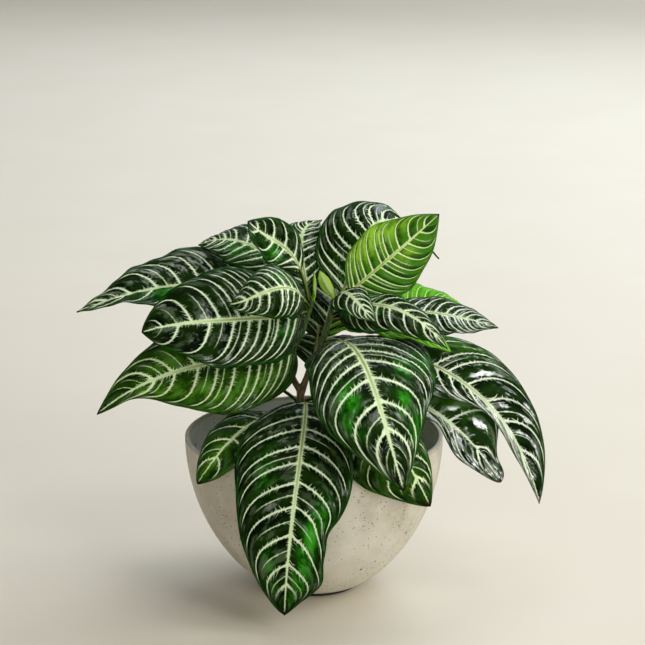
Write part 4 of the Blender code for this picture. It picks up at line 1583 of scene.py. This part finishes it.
        rounded = np.sqrt(1 - self.stalk_roundness * reach * reach)
        stalk_half = self.stalk_thickness * (1 - self.stalk_thinning * u) / 2 * rounded
        blade_half = self.thickness / 2 + (self.edge_thickness - self.thickness) / 2 * reach**4
        half = (1 - flat) * stalk_half + flat * blade_half
        ridge = np.cos(np.clip(reach / rib_share, 0, 1) * math.pi / 2) ** 2
        depth = -(half + flat * self.rib_depth * (1 - self.rib_taper * u) * ridge) if under else half
        if not smooth:
            number, _ = self.phase(inside, reach, sign)
            hump = np.abs(np.sin(math.pi * number)) ** self.quilt_power - self.quilt_level
            window = np.clip(reach * width / self.quilt_from_rib, 0, 1)
            window = window * np.clip((1 - reach) * self.quilt_fade, 0, 1) * flat * envelope
            depth = depth + self.quilt * hump * window * min(1.0, plan.width / self.quilt_width)
        side, up = self.axes(u)
        bend_up = up * np.cos(bend)[..., None] - side * (sign * np.sin(bend))[..., None]
        spots = self.rib(u) + side * across[..., None] + up * lift[..., None] + bend_up * depth[..., None]
        if not smooth:
            spots = spots + bend_up * (self.puckers(spots) * flat * self.pucker * (1 - reach**6))[..., None]
        return spots

    def fineness(self) -> float:
        """How wide this leaf's veins are beside those of a large leaf."""
        least, most = self.fineness_range
        return self.plan.bold * min(most, max(least, math.sqrt(self.plan.width / self.bold_width)))

    def puckers(self, spots: Array) -> Array:
        """Small irregular blisters of the tissue, from -1 to 1, as three crossing waves."""
        x, y, z = spots[..., 0], spots[..., 1], spots[..., 2]
        first = np.sin(0.83 * x + 0.41 * y + 1.7 * np.sin(0.21 * z + 0.13 * x))
        second = np.sin(0.72 * y - 0.58 * z + 1.9 * np.sin(0.17 * x - 0.11 * y))
        third = np.sin(0.77 * z + 0.36 * x + 1.5 * np.sin(0.19 * y + 0.23 * z))
        return (first * second + second * third + third * first) / 2

    def shares(self) -> Array:
        """The shares u of the leaf's rows, closer together at the blade's base and tip."""
        plan = self.plan
        even = np.linspace(0, 1, self.rows + 1)
        blade = even - self.row_crowding * np.sin(TAU * even) / TAU
        stalk = np.linspace(0, 1, self.stalk_rows + 1)[:-1] * plan.stalk
        return np.concatenate([stalk, plan.stalk + (1 - plan.stalk) * blade])

    def grid(self) -> Shape:
        """Two grids joined along their rims.

        Returns:
            The shape, in which x and y of a vertex tell its row and column, and z its side.
        """
        rows = len(self.shares()) - 1
        shape = bmesh.new()
        bmesh.ops.create_grid(shape, x_segments=rows, y_segments=self.columns, size=1.0)
        rim = [edge for edge in shape.edges if edge.is_boundary]
        copied = bmesh.ops.duplicate(shape, geom=shape.verts[:] + shape.edges[:] + shape.faces[:])["geom"]
        lower, edges, faces = (
            [part for part in copied if isinstance(part, kind)]
            for kind in (bmesh.types.BMVert, bmesh.types.BMEdge, bmesh.types.BMFace)
        )
        bmesh.ops.reverse_faces(shape, faces=faces)
        bmesh.ops.translate(shape, vec=(0, 0, -1.0), verts=lower)
        for face in faces:
            face.material_index = 1
        bmesh.ops.bridge_loops(shape, edges=rim + [edge for edge in edges if edge.is_boundary])
        bmesh.ops.recalc_face_normals(shape, faces=shape.faces)
        return shape

    def build(self, upper: Material, under: Material) -> Piece:
        """The leaf's piece, with its charts.

        Args:
            upper: the finish of its upper side.
            under: the finish of its under side.

        Returns:
            The piece.
        """
        shape = self.grid()
        piece = finish_mesh(f"{self.plan.name}_blade", shape, [upper, under], NO_CREASE)
        mesh = piece.data
        grid = np.empty(len(mesh.vertices) * 3, np.float32)
        mesh.vertices.foreach_get("co", grid)
        grid = grid.reshape(-1, 3).astype(float) / MM
        shares = self.shares()
        row = np.rint((grid[:, 0] + 1) / 2 * (len(shares) - 1)).astype(int)
        column = np.rint(grid[:, 1] * self.columns / 2).astype(int)
        below = grid[:, 2] < -0.5
        u, reach = shares[row], np.abs(column) / (self.columns / 2)
        sign = np.where(column < 0, -1.0, 1.0)
        places = np.where(below[:, None], self.skin(u, reach, sign, True), self.skin(u, reach, sign, False))
        mesh.vertices.foreach_set("co", (places * MM).astype(np.float32).ravel())
        self.chart(mesh, shares, row, column)
        mesh.update()
        if self.turned_in(mesh):
            mesh.flip_normals()
        return piece

    @staticmethod
    def turned_in(mesh: bpy.types.Mesh) -> bool:
        """Whether the closed mesh's faces point inwards, by its signed volume."""
        shape = bmesh.new()
        shape.from_mesh(mesh)
        volume = shape.calc_volume(signed=True)
        shape.free()
        return volume < 0

    def vein_pitch(self, spots: Array, number: Array) -> Array:
        """How far apart the side veins are at each place, from how fast their numbers change there.

        Args:
            spots: the places by row and column.
            number: the side vein's number at each.

        Returns:
            The distances, at most widest_pitch.
        """
        down, over = np.gradient(spots, axis=0), np.gradient(spots, axis=1)
        number_down, number_over = np.gradient(number, axis=0), np.gradient(number, axis=1)
        a, b, c = (down * down).sum(-1), (down * over).sum(-1), (over * over).sum(-1)
        area = np.maximum(a * c - b * b, 1e-9)
        slope = (c * number_down**2 - 2 * b * number_down * number_over + a * number_over**2) / area
        pitch = np.minimum(1 / np.sqrt(np.maximum(slope, 1e-6)), self.widest_pitch)
        outside = (number < 0.5) | (number > len(self.vein_starts()) + 0.5)
        return np.where(outside, self.widest_pitch, pitch)

    def values(self, shares: Array, side: int) -> dict[str, tuple[Array, Array]]:
        """What the charts say at each row and column of one side of the midrib.

        Args:
            shares: the rows' shares u.
            side: -1 or 1.

        Returns:
            The pair of values of each chart.
        """
        half = self.columns // 2
        stalk = self.plan.stalk
        reach = np.linspace(0, 1, half + 1)[None, :].repeat(len(shares), 0)
        u = shares[:, None].repeat(half + 1, 1)
        t = (u - stalk) / (1 - stalk)
        sign = np.full_like(u, side)
        spots = self.skin(u, reach, sign, False, smooth=True)
        number, start = self.phase(np.clip(t, 0, 1), reach, sign)
        steps = np.linalg.norm(np.diff(spots, axis=1), axis=-1)
        across = np.concatenate([np.zeros((len(u), 1)), np.cumsum(steps, axis=1)], axis=1)
        strides = np.linalg.norm(np.diff(spots[:, 0], axis=0), axis=-1)
        way = np.concatenate([[0.0], np.cumsum(strides)])
        along = way[:, None].repeat(half + 1, 1)
        base = np.interp(stalk, shares, way)
        run = np.hypot(across, along - base - start * (way[-1] - base))
        scale = self.fineness()
        # glow maps the patches of painted light; glint maps the wax coat and its painted sheen.
        glow = self.patches(self.plan.lights, t, reach * side)
        glint = self.patches(self.plan.glints, t, reach * side)
        return {
            "rib": (across * side / scale, along / scale),
            "vein": (number, self.vein_pitch(spots, number) / scale),
            "run": (run / scale, reach),
            "blade": (t, across[:, -1:] - across),
            "light": (glow, glint),
        }

    def chart(self, mesh: bpy.types.Mesh, shares: Array, row: Array, column: Array) -> None:
        """Writes the charts that the leaf's materials read, one value pair for each corner of each face.

        Args:
            mesh: the leaf's mesh.
            shares: the rows' shares u.
            row: each vertex's row.
            column: each vertex's column, below 0 on one side of the midrib.
        """
        tables = {side: self.values(shares, side) for side in (-1, 1)}
        corners = whole_numbers(mesh.loops, "vertex_index")
        starts = whole_numbers(mesh.polygons, "loop_start")
        totals = whole_numbers(mesh.polygons, "loop_total")
        mean = np.add.reduceat(column[corners], starts) / totals
        left = np.repeat(mean < 0, totals)
        rows, columns = row[corners], np.abs(column[corners])
        for name in tables[1]:
            pairs = np.empty((len(corners), 2), np.float32)
            for axis in (0, 1):
                first, second = tables[-1][name][axis], tables[1][name][axis]
                pairs[:, axis] = np.where(left, first[rows, columns], second[rows, columns])
            mesh.uv_layers.new(name=name).uv.foreach_set("vector", pairs.ravel())

    @staticmethod
    def patches(spots: tuple[Patch, ...], t: Array, reach: Array) -> Array:
        """The strength of soft round patches at each place of the blade."""
        total = np.zeros_like(t)
        for where, beside, spread, strength in spots:
            total += strength * np.exp(-(((t - where) ** 2 + ((reach - beside) * 0.5) ** 2) / spread**2))
        return total


@dataclass
class Foliage:
    """All leaves, each in the finish of its kind."""

    plans: list[LeafPlan]

    def dress(self) -> None:
        """Builds every leaf and sets it on its body."""
        veins = VeinPattern(SpikedLine().group()).build()
        sides = {}
        for kind in LeafKind:
            finish = LeafFinish(kind, veins)
            sides[kind] = (finish.upper(), finish.under())
        for plan in self.plans:
            piece = Leaf(plan).build(*sides[plan.kind])
            settle(piece, plan.name)


# Studio


@dataclass
class Studio:
    """The pale floor, the soft lights and the camera."""

    lens: float = 150.0
    sensor: float = 36.0
    camera_at: Point = (0.0076, -2.2817, 0.884)
    pitch: float = 15.7
    floor_size: float = 6000.0
    floor_tones: Tones = ("CAC2B0", "D0C9B8")
    daylight: Point = (1.0, 0.985, 0.955)
    neutral: Point = (1.0, 1.0, 1.0)
    cool: Point = (0.87, 0.97, 1.12)
    fill_colour: tuple[float, ...] = (1.0, 0.98, 0.94, 1.0)
    fill_strength: float = 0.3

    def floor(self) -> None:
        """A plain pale floor."""
        shape = bmesh.new()
        bmesh.ops.create_grid(shape, x_segments=2, y_segments=2, size=self.floor_size)
        made, wire, shader = new_material("pale_floor")
        grain = wire.noise(wire.place(), 6.0, 3.0, 0.5)
        wire.feed(shader["Base Color"], wire.mix(grain, *(tone(code) for code in self.floor_tones)))
        wire.feed(shader["Roughness"], 0.7)
        finish_mesh("floor", shape, [made])

    def area(self, name: str, at: Point, aim: Point, size: Pair, power: float, colour: Point) -> None:
        """One soft rectangular light.

        Args:
            name: its name.
            at: where it stands, in metres.
            aim: the point that it faces.
            size: its width and height, in metres.
            power: its power in watts.
            colour: its linear colour.
        """
        data = bpy.data.lights.new(name, "AREA")
        data.shape = "RECTANGLE"
        data.size, data.size_y = size
        data.energy = power
        data.color = colour
        facing = (Vector(aim) - Vector(at)).to_track_quat("-Z", "Y")
        placed(name, data).matrix_world = Matrix.Translation(Vector(at)) @ facing.to_matrix().to_4x4()

    def lights(self) -> None:
        """A window and a strip at the right, three small lights, two washes behind and an even fill."""
        daylight, neutral, cool = self.daylight, self.neutral, self.cool
        self.area("window", (3.4, 0.9, 1.7), (0.0, 0.0, 0.2), (1.7, 1.7), 63.0, daylight)
        self.area("side_strip", (1.5, -2.2, 1.15), (0.1, 0.0, 0.15), (0.7, 2.0), 36.0, neutral)
        self.area("high_front", (1.1, -0.72, 2.0), (0.0, 0.0, 0.2), (0.7, 0.7), 8.0, neutral)
        self.area("overhead", (-0.2, 0.3, 2.0), (0.0, 0.0, 0.15), (1.0, 0.7), 7.0, neutral)
        self.area("front_left", (-0.4, -2.4, 1.05), (-0.08, 0.0, 0.13), (0.7, 0.7), 6.0, neutral)
        self.area("backdrop_glow", (0.4, 2.5, 1.35), (0.0, 0.6, 0.3), (3.0, 1.7), 16.0, cool)
        self.area("floor_wash", (1.2, 2.3, 2.4), (0.8, 2.3, 0.0), (3.0, 1.6), 58.0, cool)
        world = bpy.data.worlds.new("studio")
        bpy.context.scene.world = world
        world.use_nodes = True
        background = world.node_tree.nodes["Background"]
        background.inputs["Color"].default_value = self.fill_colour
        background.inputs["Strength"].default_value = self.fill_strength

    def camera(self) -> None:
        """The camera at the photograph's viewing angle."""
        data = bpy.data.cameras.new("camera")
        data.lens = self.lens
        data.sensor_width = self.sensor
        made = placed("camera", data)
        made.location = self.camera_at
        made.rotation_euler = (math.radians(90.0 - self.pitch), 0.0, 0.0)
        bpy.context.scene.camera = made

    def dress(self) -> None:
        """Sets up the whole studio."""
        self.floor()
        self.lights()
        self.camera()
        bpy.context.scene.view_settings.view_transform = "Standard"


def write_sizes() -> None:
    """Updates the view layer."""
    bpy.context.view_layer.update()


def main() -> None:
    """Builds every piece in order."""
    logging.basicConfig(level=logging.INFO, format="%(name)s: %(message)s")
    Studio().dress()
    Bowl().dress()
    Soil().dress()
    Stem().dress()
    Foliage(LEAVES).dress()
    write_sizes()


if __name__ == "__main__":
    main()
